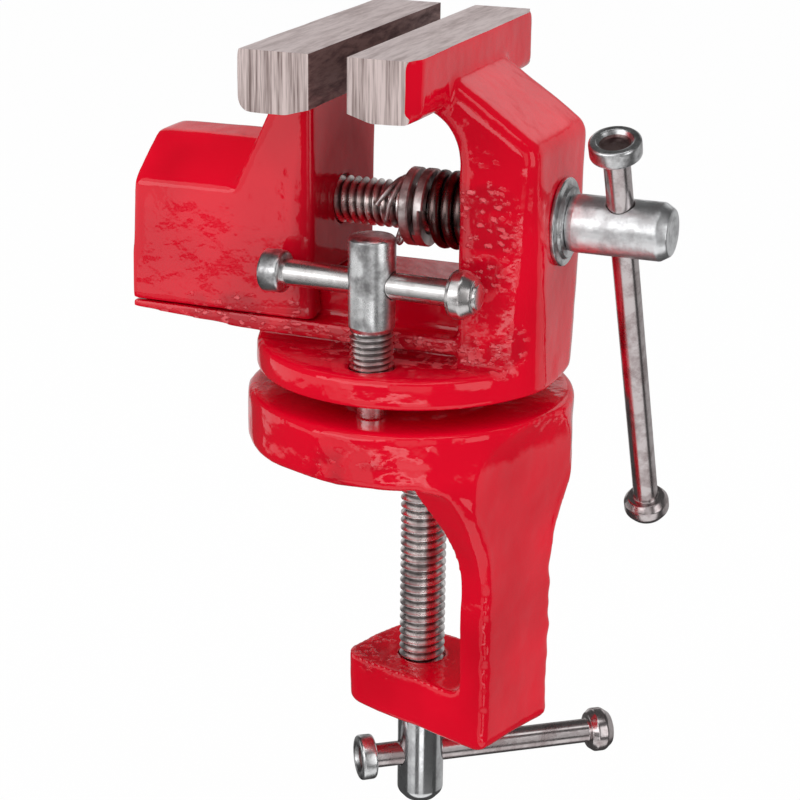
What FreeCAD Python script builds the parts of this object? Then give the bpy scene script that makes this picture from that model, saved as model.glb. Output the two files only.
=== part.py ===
import FreeCAD, Part
import math
import os
import re
import Sketcher
from FreeCAD import Placement, Rotation, Vector

# A small clamp-on bench vise of cast iron that swivels on its table clamp.
# Millimetres. +X runs along the lead screw towards its handle, +Z is up, and z = 0 is the
# face of the clamp bracket that lies on the table top. The origin lies on that face, beside
# the swivel axis, because the middle of the face is taken up by the pivot bolt.

os.makedirs("parts", exist_ok=True)
doc = FreeCAD.newDocument("ClampVise")
sheet = doc.addObject("Spreadsheet::Sheet", "Dims")
aliases = []


def dim(alias, value, note):
    """One driving size: its name, its value and what it is, a row of the sheet each."""
    row = len(aliases) + 1
    sheet.set("A%d" % row, note)
    sheet.set("B%d" % row, str(value))
    sheet.setAlias("B%d" % row, alias)
    aliases.append(alias)


# The whole vise
dim("swivel_axis_x", 20, "swivel axis, from the datum point on the table face")
dim("bracket_angle", -18, "degrees the clamp bracket stands turned under the vise body")
dim("running_gap", 0.3, "clearance between faces that pass each other")
dim("thread_gap", 0.05, "radial clearance of a screw in its tapped hole")
dim("slide_fit", 0.1, "radial clearance of a handle bar in its screw head")

# Clamp bracket
dim("base_radius", 34.6, "radius of the bracket's round head")
dim("base_height", 12, "height of the bracket's round head")
dim("base_edge", 0.9, "bevel of the head's rim")
dim("spine_inset", 4.1, "how far the spine's outer face stays inside the head's rim")
dim("spine_thick", 7, "thickness of the spine")
dim("spine_half", 11.5, "half the width of the spine and of the lug")
dim("spine_sweep_rise", 7.5, "height of the outer face's turn out to the rim, under the head's top")
dim("spine_sweep", 20, "radius of that turn")
dim("spine_flare_low", 20, "depth under the table face where the sides start to flare")
dim("spine_flare_bend", 28, "radius at the start of the flare")
dim("spine_flare_half", 21, "half the width of the flare just under the head")
dim("spine_flare_high", 1.2, "depth under the table face where it is that wide")
dim("spine_flare_end", 3.5, "radius at the end of the flare")
dim("spine_root_half", 25, "half the width of the flare where it runs into the rim")
dim("spine_edge", 1.3, "bevel of the spine's outer edges")
dim("spine_heel", 3.6, "rounding of the spine's bottom corner")
dim("table_stop_x", 17.5, "stop for the table's edge, from the swivel axis")
dim("table_stop_deep", 3.5, "depth of that stop under the table face")
dim("throat_bend_low", 14, "depth of the corner that the throat's bend rounds off")
dim("throat_bend", 40, "radius of the throat's inner bend")
dim("lug_top", 50, "depth of the lug's upper face under the table face")
dim("lug_thick", 12, "thickness of the lug")
dim("lug_end", -9.6, "free end of the lug, from the swivel axis")
dim("lug_corner", 5, "corner radius of the lug's free end")
dim("lug_fillet", 3, "fillet between lug and spine")
dim("lug_edge", 1.2, "rounding of the lug's upper and lower edges")

# Clamp screw, its pad and its handle
dim("clamp_axis_x", 4, "axis of the clamp screw, from the swivel axis")
dim("clamp_thread", 5, "radius of the clamp screw's thread")
dim("clamp_head", 5.15, "radius of the clamp screw's head")
dim("clamp_head_top", 64, "depth of the head's upper end under the table face")
dim("clamp_head_long", 21.5, "length of the clamp screw's head")
dim("clamp_head_round", 1.2, "worn bevel of the head's lower edge")
dim("clamp_bar_deep", 74.3, "depth of the handle bar under the table face")
dim("clamp_bar_angle", 37.6, "degrees the clamp handle stands turned about its screw")
dim("pad_radius", 7.4, "radius of the clamp pad")
dim("pad_thick", 6, "thickness of the clamp pad")
dim("pad_step", 1.6, "how much narrower the pad's lower half is")
dim("pad_open", 3, "distance of the pad from the table face as the vise stands")
dim("pad_socket", 3.5, "radius of the clamp screw's nose in the pad")
dim("pad_socket_deep", 3, "depth of the pad's socket")

# Handle bars
dim("bar_radius", 2.7, "radius of the handle bars")
dim("cap_spigot", 1.9, "radius of the bar's riveted spigot in its cap")
dim("clamp_bar_left", 14.5, "clamp handle, from its screw to the cap's end")
dim("clamp_bar_right", 45.5, "clamp handle, from its screw to the knob's end")
dim("lead_bar_up", 21.1, "lead-screw handle, from its screw to the cap's end")
dim("lead_bar_down", 78.7, "lead-screw handle, from its screw to the knob's end")
dim("lock_bar_left", 24, "lock handle, from its screw to the cap's end")
dim("lock_bar_right", 23.3, "lock handle, from its screw to the knob's end")
dim("knob_radius", 4.95, "radius of the bulged knobs")
dim("knob_long", 6, "length of the bulged knobs")
dim("knob_swell", 0.9, "how far a knob swells beyond its shoulder")
dim("knob_flat", 3, "radius of the flat on a knob's end")
dim("cap_rim", 1.9, "width of the raised rim round a cap's dished end")
dim("cap_dish", 0.7, "depth of that dish")
dim("spigot_short", 1, "how far the bar's spigot stops under the cap's end")
dim("clamp_cap_radius", 5.1, "radius of the clamp handle's cap")
dim("clamp_cap_long", 3.6, "length of the clamp handle's cap")
dim("lead_cap_radius", 5.35, "radius of the lead handle's cap")
dim("lead_cap_long", 3.8, "length of the lead handle's cap")
dim("lock_cap_radius", 4.45, "radius of the lock handle's cap")
dim("lock_cap_long", 4.8, "length of the lock handle's cap")

# Pivot bolt
dim("pivot_radius", 5, "radius of the pivot bolt")
dim("pivot_bore", 5.3, "radius of the bracket's bore for it")
dim("pivot_counterbore", 9.6, "radius of the counterbore for its head")
dim("pivot_counterbore_deep", 6.5, "depth of that counterbore")
dim("pivot_washer_radius", 9, "radius of the bolt's washer")
dim("pivot_washer_thick", 1.6, "thickness of the bolt's washer")
dim("pivot_flats", 13, "width across the bolt head's flats")
dim("pivot_head_thick", 4.3, "thickness of the bolt head")
dim("pivot_reach", 18, "length of thread the bolt has in the vise body")

# Vise body
dim("hub_radius", 15, "radius of the hub that turns on the bracket")
dim("hub_height", 4.4, "gap that the hub leaves between the two discs")
dim("disc_inset", 1.9, "how far the vise body's disc stays inside the head's rim")
dim("disc_thick", 6.4, "thickness of that disc")
dim("disc_edge", 0.9, "bevel of the disc's upper edge")
dim("bed_tail", -57.5, "rear end of the bed, from the swivel axis")
dim("bed_half", 16.5, "half the width of the bed")
dim("bed_top", 28, "height of the bed's upper face")
dim("bed_tail_thick", 1.5, "thickness of the bed at its rear end")
dim("bed_root_thick", 3.4, "thickness of the bed over the disc")
dim("web_half", 13.5, "half the width of the web under the bed")
dim("rail_height", 8, "height of the dovetail rail on the bed")
dim("rail_half", 12.4, "half the width of the rail's top")
dim("rail_undercut", 1.4, "how far the rail narrows at its foot")
dim("upright_inner", 16, "inner face of the upright, from the swivel axis")
dim("upright_outer", 32.5, "outer face of the upright, from the swivel axis")
dim("upright_half", 17, "half the width of the upright and of the neck")
dim("upright_corner_low", 9.5, "outer corner radius of the upright at the disc")
dim("upright_corner_top", 3.5, "outer corner radius of the upright at the shoulder")
dim("upright_inner_edge", 1.1, "bevel of the upright's inner edges")
dim("shoulder_z", 64, "height where the upright turns into the shoulder")
dim("shoulder_turn", 68, "height of the shoulder's outer corner")
dim("shoulder_bend", 4.5, "radius of the shoulder's outer corner")
dim("shoulder_top_x", 12.4, "end of the shoulder's slope under the jaw, from the axis")
dim("shoulder_top_z", 82, "height of that end")
dim("throat_radius", 11, "radius of the arch under the fixed jaw")

# Jaws
dim("jaw_overhang", 0.4, "how far the jaws reach past the round head on each side")
dim("jaw_low", 74.8, "height of the jaws' lower faces")
dim("jaw_high", 87.1, "height of the jaws' ground tops")
dim("fixed_jaw_thick", 14.2, "thickness of the fixed jaw")
dim("moving_jaw_thick", 15.1, "thickness of the moving jaw")
dim("jaw_gap", 8, "opening between the jaws as the vise stands")
dim("jaw_round", 2.6, "rounding of the jaws' upper and lower rear edges")
dim("jaw_nose", 1, "rounding of the gripping faces' lower edges")
dim("jaw_end", 0.8, "bevel of the jaws' ends at the rear")

# Moving jaw's block
dim("block_wall_x", -15.5, "front wall of the block, from the swivel axis")
dim("block_rear", -57.5, "rear end of the block, from the swivel axis")
dim("block_half", 17, "half the width of the block")
dim("block_lift", 0.9, "gap between the block's foot and the bed")
dim("block_shoulder", 54.4, "height where the block's sides lean in")
dim("block_top", 63, "height of the block's top")
dim("block_top_half", 5.5, "half the width of the block's top")
dim("block_round", 2.2, "rounding along the block's long edges")
dim("block_edge", 1.5, "rounding of the block's front corners")
dim("neck_slope_top", -22.6, "end of the neck's rear slope under the jaw")
dim("neck_slope_low", -35.6, "foot of the neck's rear slope")
dim("nut_long", 13, "length of the tapped boss behind the front wall")
dim("hollow_half", 11.6, "half the width of the block's hollow")
dim("hollow_shoulder", 52, "height where the hollow's sides lean in")
dim("hollow_top", 58, "height of the hollow's roof")
dim("hollow_top_half", 4, "half the width of the hollow's roof")

# Lead screw, its washers, spring and pin
dim("screw_z", 50.5, "height of the lead screw's axis")
dim("screw_angle", 22.4, "degrees the lead screw's handle stands turned")
dim("screw_thread", 5, "radius of the lead screw's thread")
dim("screw_tip", -57, "tip of the lead screw, from the swivel axis")
dim("screw_point", 1.2, "chamfer of the screws' ends")
dim("screw_head", 5.95, "radius of the lead screw's head")
dim("screw_head_long", 21, "length of the lead screw's head")
dim("screw_head_rim", 1, "bevel of the lead screw's head")
dim("screw_bar_along", 10.5, "handle's hole, from the inner end of the head")
dim("collar_radius", 9.1, "radius of the thrust collar")
dim("collar_thick", 2, "thickness of the thrust collar")
dim("spring_long", 11, "length of the spring as fitted")
dim("spring_coil", 6.9, "radius of the spring to the middle of its wire")
dim("spring_wire", 1.3, "radius of the spring's wire")
dim("spring_turns", 3, "turns of the spring")
dim("spring_chords", 14, "straight chords in a turn of the spring")
dim("spring_sides", 8, "sides of the spring wire's section")
dim("washer_radius", 8.2, "radius of the two washers behind the spring")
dim("washer_thick", 2.85, "thickness of each of those washers")
dim("pin_radius", 1, "radius of the cotter pin")
dim("pin_eye", 1.3, "radius of the pin's eye to the middle of its wire")
dim("pin_leg", 5.2, "length of the pin's bent legs")

# Lock screw
dim("lock_axis_x", 0.6, "lock screw, from the swivel axis along the vise")
dim("lock_from_block", 6.5, "lock screw, from the side of the moving jaw's block")
dim("lock_angle", -2, "degrees the lock handle stands turned")
dim("lock_head", 4.85, "radius of the lock screw's head")
dim("lock_head_low", 30.4, "height of the head's lower end")
dim("lock_head_high", 50, "height of the head's upper end")
dim("lock_bar_z", 40, "height of the lock handle")
dim("lock_thread", 4.5, "radius of the lock screw's thread")
dim("lock_nose", 3.3, "radius of the screw's plain nose")
dim("lock_nose_long", 4.2, "length of that nose")

doc.recompute()


def bound(text):
    """An expression over the sheet's names, as another object of the document reads it."""
    word = r"[A-Za-z_][A-Za-z_0-9]*"
    return re.sub(word, lambda hit: ("Dims." if hit.group(0) in aliases else "") + hit.group(0), text)


def size(text):
    """The present value of an expression over the sheet's names."""
    return float(sheet.evalExpression(text))


def new_body(name, across="swivel_axis_x", aside="0", up="0", axis=Vector(0, 0, 1), turn="0"):
    """A body for one sub-part: where its own origin lies and how it is turned there."""
    body = doc.addObject("PartDesign::Body", name)
    body.Label = name
    body.Placement = Placement(Vector(0, 0, 0), Rotation(axis, 1))
    body.setExpression("Placement.Base.x", bound(across))
    body.setExpression("Placement.Base.y", bound(aside))
    body.setExpression("Placement.Base.z", bound(up))
    body.setExpression("Placement.Rotation.Angle", bound(turn))
    return body


def new_sketch(body, name, role, lift):
    """An empty sketch on one of the body's own planes, raised off it by a named size."""
    sketch = body.newObject("Sketcher::SketchObject", name)
    planes = [feature for feature in body.Origin.OriginFeatures if feature.Role == role]
    sketch.AttachmentSupport = [(planes[0], "")]
    sketch.MapMode = "FlatFace"
    sketch.setExpression("AttachmentOffset.Base.z", bound(lift))
    return sketch


def pin_point(sketch, geometry, position, across, up):
    """Hold a point of the sketch at two named distances from the sketch's origin."""
    number = sketch.addConstraint(
        Sketcher.Constraint("DistanceX", -1, 1, geometry, position, size(across)))
    sketch.setExpression("Constraints[%d]" % number, bound(across))
    number = sketch.addConstraint(
        Sketcher.Constraint("DistanceY", -1, 1, geometry, position, size(up)))
    sketch.setExpression("Constraints[%d]" % number, bound(up))


def corner_cut(before, corner, after, radius):
    """Where a rounded corner's arc leaves its two lines, and the arc's middle."""
    back = (before - corner).normalize()
    ahead = (after - corner).normalize()
    half = back.getAngle(ahead) / 2
    reach = radius / math.tan(half)
    middle = corner + (back + ahead).normalize() * (radius / math.sin(half))
    return corner + back * reach, corner + ahead * reach, middle


def add_outline(sketch, corners):
    """A closed outline of straight sides whose corners may be rounded.

    Each corner is (across, up) or (across, up, radius), as expressions.
    """
    count = len(corners)
    points = [Vector(size(corner[0]), size(corner[1]), 0) for corner in corners]
    cuts = []
    for place, corner in enumerate(corners):
        if len(corner) == 3:
            following = points[(place + 1) % count]
            cuts.append(corner_cut(points[place - 1], points[place], following, size(corner[2])))
        else:
            cuts.append((points[place], points[place], None))
    lines = []
    for place in range(count):
        start = cuts[place][1]
        end = cuts[(place + 1) % count][0]
        lines.append(sketch.addGeometry(Part.LineSegment(start, end), False))
    for place, corner in enumerate(corners):
        before = lines[place - 1]
        after = lines[place]
        if len(corner) == 2:
            sketch.addConstraint(Sketcher.Constraint("Coincident", before, 2, after, 1))
            pin_point(sketch, after, 1, corner[0], corner[1])
            continue
        entry, leaving, middle = cuts[place]
        along = points[place] - points[place - 1]
        onward = points[(place + 1) % count] - points[place]
        turns_left = along.cross(onward).z > 0
        first = entry - middle
        last = leaving - middle
        start_angle = math.atan2(first.y, first.x)
        end_angle = math.atan2(last.y, last.x)
        if not turns_left:
            start_angle, end_angle = end_angle, start_angle
        circle = Part.Circle(middle, Vector(0, 0, 1), size(corner[2]))
        arc = sketch.addGeometry(Part.ArcOfCircle(circle, start_angle, end_angle), False)
        mark = sketch.addGeometry(Part.Point(points[place]), True)
        begin, finish = (1, 2) if turns_left else (2, 1)
        sketch.addConstraint(Sketcher.Constraint("Tangent", before, 2, arc, begin))
        sketch.addConstraint(Sketcher.Constraint("Tangent", after, 1, arc, finish))
        number = sketch.addConstraint(Sketcher.Constraint("Radius", arc, size(corner[2])))
        sketch.setExpression("Constraints[%d]" % number, bound(corner[2]))
        sketch.addConstraint(Sketcher.Constraint("PointOnObject", mark, 1, before))
        sketch.addConstraint(Sketcher.Constraint("PointOnObject", mark, 1, after))
        pin_point(sketch, mark, 1, corner[0], corner[1])


def outline(body, name, role, lift, *corners):
    """A sketch with one closed outline."""
    sketch = new_sketch(body, name, role, lift)
    add_outline(sketch, corners)
    return sketch


def ring(body, name, role, lift, across, up, *radii):
    """A sketch with one circle, or with more round the same middle."""
    sketch = new_sketch(body, name, role, lift)
    for radius in radii:
        circle = Part.Circle(Vector(size(across), size(up), 0), Vector(0, 0, 1), size(radius))
        edge = sketch.addGeometry(circle, False)
        number = sketch.addConstraint(Sketcher.Constraint("Radius", edge, size(radius)))
        sketch.setExpression("Constraints[%d]" % number, bound(radius))
        pin_point(sketch, edge, 3, across, up)
    return sketch


def pad(body, sketch, length, both_ways=False):
    """A pad off the sketch's front, or by half the length to each side of it."""
    feature = body.newObject("PartDesign::Pad", sketch.Name + "Pad")
    feature.Profile = sketch
    feature.SideType = "Symmetric" if both_ways else "One side"
    feature.setExpression("Length", bound(length))
    doc.recompute()
    return feature


def pocket(body, sketch, length, both_ways=False, from_front=False):
    """A cut behind the sketch, in front of it, or by half the length to each side of it."""
    before = body.Shape.Volume
    feature = body.newObject("PartDesign::Pocket", sketch.Name + "Cut")
    feature.Profile = sketch
    feature.SideType = "Symmetric" if both_ways else "One side"
    feature.Reversed = from_front
    feature.setExpression("Length", bound(length))
    doc.recompute()
    if body.Shape.Volume > before - 0.01:
        raise RuntimeError("%s takes nothing away" % feature.Name)
    return feature


def turned(body, sketch, axis):
    """A revolution about one of the sketch's own axes, H_Axis or V_Axis."""
    feature = body.newObject("PartDesign::Revolution", sketch.Name + "Turned")
    feature.Profile = sketch
    feature.ReferenceAxis = (sketch, [axis])
    feature.Angle = 360
    doc.recompute()
    return feature


def rounded(body, name, radius, picks):
    """A fillet on the edges of the body's present shape that the pick accepts."""
    base = body.Tip
    names = []
    for number, edge in enumerate(base.Shape.Edges, 1):
        middle = edge.valueAt((edge.FirstParameter + edge.LastParameter) / 2)
        if picks(middle, edge):
            names.append("Edge%d" % number)
    if not names:
        raise RuntimeError("%s finds no edge" % name)
    feature = body.newObject("PartDesign::Fillet", name)
    feature.Base = (base, names)
    feature.setExpression("Radius", bound(radius))
    doc.recompute()
    return feature


def beveled(body, name, reach, picks):
    """A bevel on the edges of the body's present shape that the pick accepts."""
    base = body.Tip
    names = []
    for number, edge in enumerate(base.Shape.Edges, 1):
        middle = edge.valueAt((edge.FirstParameter + edge.LastParameter) / 2)
        if picks(middle, edge):
            names.append("Edge%d" % number)
    if not names:
        raise RuntimeError("%s finds no edge" % name)
    feature = body.newObject("PartDesign::Chamfer", name)
    feature.Base = (base, names)
    feature.setExpression("Size", bound(reach))
    doc.recompute()
    return feature


def near(value, text, slack=0.05):
    """Whether a coordinate lies at a named size."""
    return abs(value - size(text)) < slack


# --------------------------------------------------------------------------- clamp bracket

def bracket_profile(body):
    """The spine and lug: their front outline, flared into the round of the head's rim."""
    front = outline(
        body, "SpineFront", "YZ_Plane", "lug_end",
        ("-spine_half", "-lug_top - lug_thick"),
        ("spine_half", "-lug_top - lug_thick"),
        ("spine_half", "-spine_flare_low", "spine_flare_bend"),
        ("spine_flare_half", "-spine_flare_high", "spine_flare_end"),
        ("spine_root_half", "0"),
        ("spine_root_half", "base_height / 2"),
        ("-spine_root_half", "base_height / 2"),
        ("-spine_root_half", "0"),
        ("-spine_flare_half", "-spine_flare_high", "spine_flare_end"),
        ("-spine_half", "-spine_flare_low", "spine_flare_bend"))
    pad(body, front, "base_radius - lug_end + 1")
    rim = ring(body, "RimTrim", "XY_Plane", "base_height", "0", "0", "base_radius", "2 * base_radius")
    pocket(body, rim, "base_height + lug_top + 2 * lug_thick")


def bracket_throat(body):
    """The open throat that the table goes into, with the stop for the table's edge."""
    throat = outline(
        body, "Throat", "XZ_Plane", "0",
        ("lug_end - 9", "-lug_top"),
        ("base_radius - spine_inset - spine_thick", "-lug_top", "lug_fillet"),
        ("base_radius - spine_inset - spine_thick", "-throat_bend_low", "throat_bend"),
        ("table_stop_x", "-table_stop_deep", "lug_edge"),
        ("table_stop_x", "0", "lug_edge"),
        ("lug_end - 9", "0"))
    pocket(body, throat, "4 * spine_root_half", both_ways=True)


def make_clamp_bracket():
    """One casting: a round head, a spine swept into its rim, and a tapped lug."""
    body = new_body("clamp_bracket", turn="bracket_angle")
    bracket_profile(body)
    bracket_throat(body)
    rounded(body, "LugCorners", "lug_corner", lambda p, e: near(p.x, "lug_end")
            and near(abs(p.y), "spine_half") and near(p.z, "-lug_top - lug_thick / 2", 1))
    head = outline(
        body, "Head", "XZ_Plane", "0",
        ("0", "0"),
        ("base_radius - base_edge", "0"),
        ("base_radius", "base_edge"),
        ("base_radius", "base_height - base_edge"),
        ("base_radius - base_edge", "base_height"),
        ("0", "base_height"))
    turned(body, head, "V_Axis")
    back = outline(
        body, "SpineBack", "XZ_Plane", "0",
        ("base_radius - spine_inset", "-lug_top - 2 * lug_thick"),
        ("2 * base_radius", "-lug_top - 2 * lug_thick"),
        ("2 * base_radius", "base_height"),
        ("base_radius", "base_height"),
        ("base_radius - spine_inset", "base_height - spine_sweep_rise", "spine_sweep"))
    pocket(body, back, "4 * spine_root_half", both_ways=True)
    rounded(body, "SpineHeel", "spine_heel", lambda p, e: near(p.x, "base_radius - spine_inset")
            and near(p.z, "-lug_top - lug_thick"))
    beveled(body, "SpineEdges", "spine_edge", lambda p, e: abs(p.y) > size("spine_half") - 0.1
            and e.BoundBox.XMin > size("base_radius - spine_inset") - 0.1
            and e.BoundBox.ZMax < 0 and math.hypot(p.x, p.y) < size("base_radius") - 0.1)
    bore = ring(body, "PivotBore", "XY_Plane", "base_height", "0", "0", "pivot_bore")
    pocket(body, bore, "base_height")
    recess = ring(body, "PivotCounterbore", "XY_Plane", "0", "0", "0", "pivot_counterbore")
    pocket(body, recess, "pivot_counterbore_deep", from_front=True)
    tapped = ring(body, "ClampTapping", "XY_Plane", "-lug_top", "clamp_axis_x", "0",
                  "clamp_thread + thread_gap")
    pocket(body, tapped, "2 * lug_thick")
    return body


# --------------------------------------------------------------------------- vise body

def body_disc_and_bed(body):
    """The turning disc with its hub, and the bed with its dovetail rail."""
    disc = outline(
        body, "DiscAndHub", "XZ_Plane", "0",
        ("0", "base_height"),
        ("hub_radius", "base_height"),
        ("hub_radius", "base_height + hub_height"),
        ("base_radius - disc_inset - disc_edge / 2", "base_height + hub_height"),
        ("base_radius - disc_inset", "base_height + hub_height + disc_edge / 2"),
        ("base_radius - disc_inset", "base_height + hub_height + disc_thick - disc_edge"),
        ("base_radius - disc_inset - disc_edge", "base_height + hub_height + disc_thick"),
        ("0", "base_height + hub_height + disc_thick"))
    turned(body, disc, "V_Axis")
    web = outline(
        body, "Web", "YZ_Plane", "disc_inset - base_radius + web_half / 4",
        ("-web_half", "base_height + hub_height + disc_thick / 2"),
        ("web_half", "base_height + hub_height + disc_thick / 2"),
        ("web_half", "bed_top - bed_root_thick / 2"),
        ("-web_half", "bed_top - bed_root_thick / 2"))
    pad(body, web, "base_radius - disc_inset + upright_inner")
    bed = outline(
        body, "Bed", "XZ_Plane", "0",
        ("bed_tail", "bed_top"),
        ("bed_tail", "bed_top - bed_tail_thick"),
        ("disc_inset - base_radius", "bed_top - bed_root_thick"),
        ("upright_inner + 6", "bed_top - bed_root_thick"),
        ("upright_inner + 6", "bed_top"))
    pad(body, bed, "2 * bed_half", both_ways=True)
    rail = outline(
        body, "Rail", "YZ_Plane", "bed_tail",
        ("-rail_half + rail_undercut", "bed_top - bed_tail_thick / 2"),
        ("rail_half - rail_undercut", "bed_top - bed_tail_thick / 2"),
        ("rail_half", "bed_top + rail_height"),
        ("-rail_half", "bed_top + rail_height"))
    pad(body, rail, "upright_inner + 6 - bed_tail")


def upright_section(body, name, lift, corner):
    """The upright's level section, its outer corners rounded off in four flat strips each."""
    near_side = []
    for strip in range(5):
        turn = "%g" % (22.5 * strip)
        near_side.append(("upright_outer - " + corner + " * (1 - sin(" + turn + "))",
                          "upright_half - " + corner + " * (1 - cos(" + turn + "))"))
    inner = [("upright_inner", "upright_half - upright_inner_edge"),
             ("upright_inner + upright_inner_edge", "upright_half")]
    far_side = [(across, "-(" + up + ")") for across, up in reversed(inner + near_side)]
    return outline(body, name, "XY_Plane", lift, *(inner + near_side + far_side))


def body_neck(body):
    """The arched neck over the throat, with the shoulder that runs down to the upright."""
    neck = outline(
        body, "Neck", "XZ_Plane", "0",
        ("jaw_round", "jaw_low"),
        ("upright_inner", "jaw_low", "throat_radius - 0.3"),
        ("upright_inner", "shoulder_z"),
        ("upright_outer", "shoulder_z"),
        ("upright_outer", "shoulder_turn", "shoulder_bend"),
        ("shoulder_top_x", "shoulder_top_z"),
        ("jaw_round", "shoulder_top_z"))
    pad(body, neck, "2 * upright_half", both_ways=True)
    rounded(body, "ShoulderEdges", "upright_corner_top", lambda p, e: near(abs(p.y), "upright_half")
            and (near(p.x, "upright_outer", 1) or p.z > size("shoulder_turn") - 1
                 and p.x > size("shoulder_top_x") + 1 and p.x + p.z > size("jaw_low + shoulder_top_x")))
    beveled(body, "ThroatEdges", "upright_inner_edge", lambda p, e: near(abs(p.y), "upright_half")
            and p.x < size("upright_inner") + 0.1 and p.z < size("jaw_low") + 0.1)


def make_swivel_body():
    """One casting: disc, bed, upright, neck and fixed jaw, on the hub that turns."""
    body = new_body("swivel_body")
    body_neck(body)
    low = upright_section(body, "UprightFoot", "base_height + hub_height + disc_edge / 2",
                          "upright_corner_low")
    top = upright_section(body, "UprightTop", "shoulder_z", "upright_corner_top")
    upright = body.newObject("PartDesign::AdditiveLoft", "Upright")
    upright.Profile = top
    upright.Sections = [low]
    upright.Ruled = True
    doc.recompute()
    body_disc_and_bed(body)
    jaw = outline(
        body, "FixedJaw", "XZ_Plane", "0",
        ("0", "jaw_low", "jaw_nose"),
        ("fixed_jaw_thick", "jaw_low", "jaw_round"),
        ("fixed_jaw_thick", "jaw_high", "jaw_round"),
        ("0", "jaw_high"))
    pad(body, jaw, "2 * (base_radius + jaw_overhang)", both_ways=True)
    beveled(body, "FixedJawEnds", "jaw_end", lambda p, e: near(abs(p.y), "base_radius + jaw_overhang")
            and p.x > size("fixed_jaw_thick - jaw_round") - 0.1)
    clearance = ring(body, "ScrewHole", "YZ_Plane", "upright_inner - 1", "0", "screw_z",
                     "screw_thread + running_gap")
    pocket(body, clearance, "upright_outer - upright_inner + 9", from_front=True)
    tapped = ring(body, "LockTapping", "XY_Plane", "base_height", "lock_axis_x",
                  "-block_half - lock_from_block", "lock_thread + thread_gap")
    pocket(body, tapped, "hub_height + 2 * disc_thick", from_front=True)
    pivot = ring(body, "PivotTapping", "XY_Plane", "base_height", "0", "0", "pivot_radius + thread_gap")
    pocket(body, pivot, "pivot_reach + 1", from_front=True)
    return body


# --------------------------------------------------------------------------- moving jaw

def make_movable_jaw():
    """One casting: jaw, neck and a hollow block that rides on the dovetail rail."""
    body = new_body("movable_jaw")
    neck = outline(
        body, "JawNeck", "XZ_Plane", "0",
        ("block_wall_x", "bed_top + block_lift"),
        ("block_wall_x", "jaw_low + jaw_round"),
        ("neck_slope_top", "jaw_low + jaw_round"),
        ("neck_slope_low", "screw_z"),
        ("neck_slope_low", "bed_top + block_lift"))
    pad(body, neck, "2 * block_half", both_ways=True)
    rounded(body, "NeckEdges", "block_edge", lambda p, e: near(abs(p.y), "block_half")
            and (near(p.x, "block_wall_x")
                 or p.z > size("screw_z") and p.z < size("jaw_low + jaw_round") - 1))
    block = outline(
        body, "Block", "YZ_Plane", "block_rear",
        ("-block_half", "bed_top + block_lift", "block_round / 2"),
        ("block_half", "bed_top + block_lift", "block_round / 2"),
        ("block_half", "block_shoulder", "block_round"),
        ("block_top_half", "block_top", "block_round"),
        ("-block_top_half", "block_top", "block_round"),
        ("-block_half", "block_shoulder", "block_round"))
    pad(body, block, "block_wall_x - block_rear - 2 * block_edge")
    jaw = outline(
        body, "MovingJaw", "XZ_Plane", "0",
        ("-jaw_gap", "jaw_low", "jaw_nose"),
        ("-jaw_gap", "jaw_high"),
        ("-jaw_gap - moving_jaw_thick", "jaw_high", "jaw_round"),
        ("-jaw_gap - moving_jaw_thick", "jaw_low", "jaw_round"))
    pad(body, jaw, "2 * (base_radius + jaw_overhang)", both_ways=True)
    beveled(body, "MovingJawEnds", "jaw_end", lambda p, e: near(abs(p.y), "base_radius + jaw_overhang")
            and p.x < size("-jaw_gap - moving_jaw_thick + jaw_round") + 0.1)
    channel = outline(
        body, "Channel", "YZ_Plane", "block_rear - 1",
        ("-rail_half + rail_undercut - running_gap", "bed_top"),
        ("rail_half - rail_undercut + running_gap", "bed_top"),
        ("rail_half + running_gap", "bed_top + rail_height + running_gap"),
        ("-rail_half - running_gap", "bed_top + rail_height + running_gap"))
    pocket(body, channel, "block_wall_x - block_rear + 2", from_front=True)
    hollow = outline(
        body, "Hollow", "YZ_Plane", "block_rear - 1",
        ("-hollow_half", "bed_top + rail_height - 1"),
        ("hollow_half", "bed_top + rail_height - 1"),
        ("hollow_half", "hollow_shoulder", "block_round"),
        ("hollow_top_half", "hollow_top", "block_round"),
        ("-hollow_top_half", "hollow_top", "block_round"),
        ("-hollow_half", "hollow_shoulder", "block_round"))
    pocket(body, hollow, "block_wall_x - block_rear - nut_long + 1", from_front=True)
    tapped = ring(body, "NutTapping", "YZ_Plane", "block_wall_x + 1", "0", "screw_z",
                  "screw_thread + thread_gap")
    pocket(body, tapped, "nut_long + 9")
    return body


# --------------------------------------------------------------------------- lead screw

def on_screw(name, along="swivel_axis_x", turn="screw_angle"):
    """A body that lies on the lead screw's axis and turns with it."""
    return new_body(name, across=along, up="screw_z", axis=Vector(1, 0, 0), turn=turn)


def make_lead_screw():
    """Thread, plain head and the two cross holes."""
    body = on_screw("lead_screw")
    inner = "upright_outer + collar_thick"
    profile = outline(
        body, "ScrewProfile", "XZ_Plane", "0",
        ("screw_tip", "0"),
        ("screw_tip", "screw_thread - screw_point"),
        ("screw_tip + screw_point", "screw_thread"),
        (inner, "screw_thread"),
        (inner, "screw_head"),
        (inner + " + screw_head_long - screw_head_rim", "screw_head"),
        (inner + " + screw_head_long", "screw_head - screw_head_rim"),
        (inner + " + screw_head_long", "0"))
    turned(body, profile, "H_Axis")
    across = ring(body, "HandleHole", "XY_Plane", "0", inner + " + screw_bar_along", "0",
                  "bar_radius + slide_fit")
    pocket(body, across, "4 * screw_head", both_ways=True)
    pin = ring(body, "PinHole", "XY_Plane", "0",
               "upright_inner - spring_long - 2 * washer_thick - pin_radius",
               "0", "pin_radius + thread_gap")
    pocket(body, pin, "4 * screw_head", both_ways=True)
    return body


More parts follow.
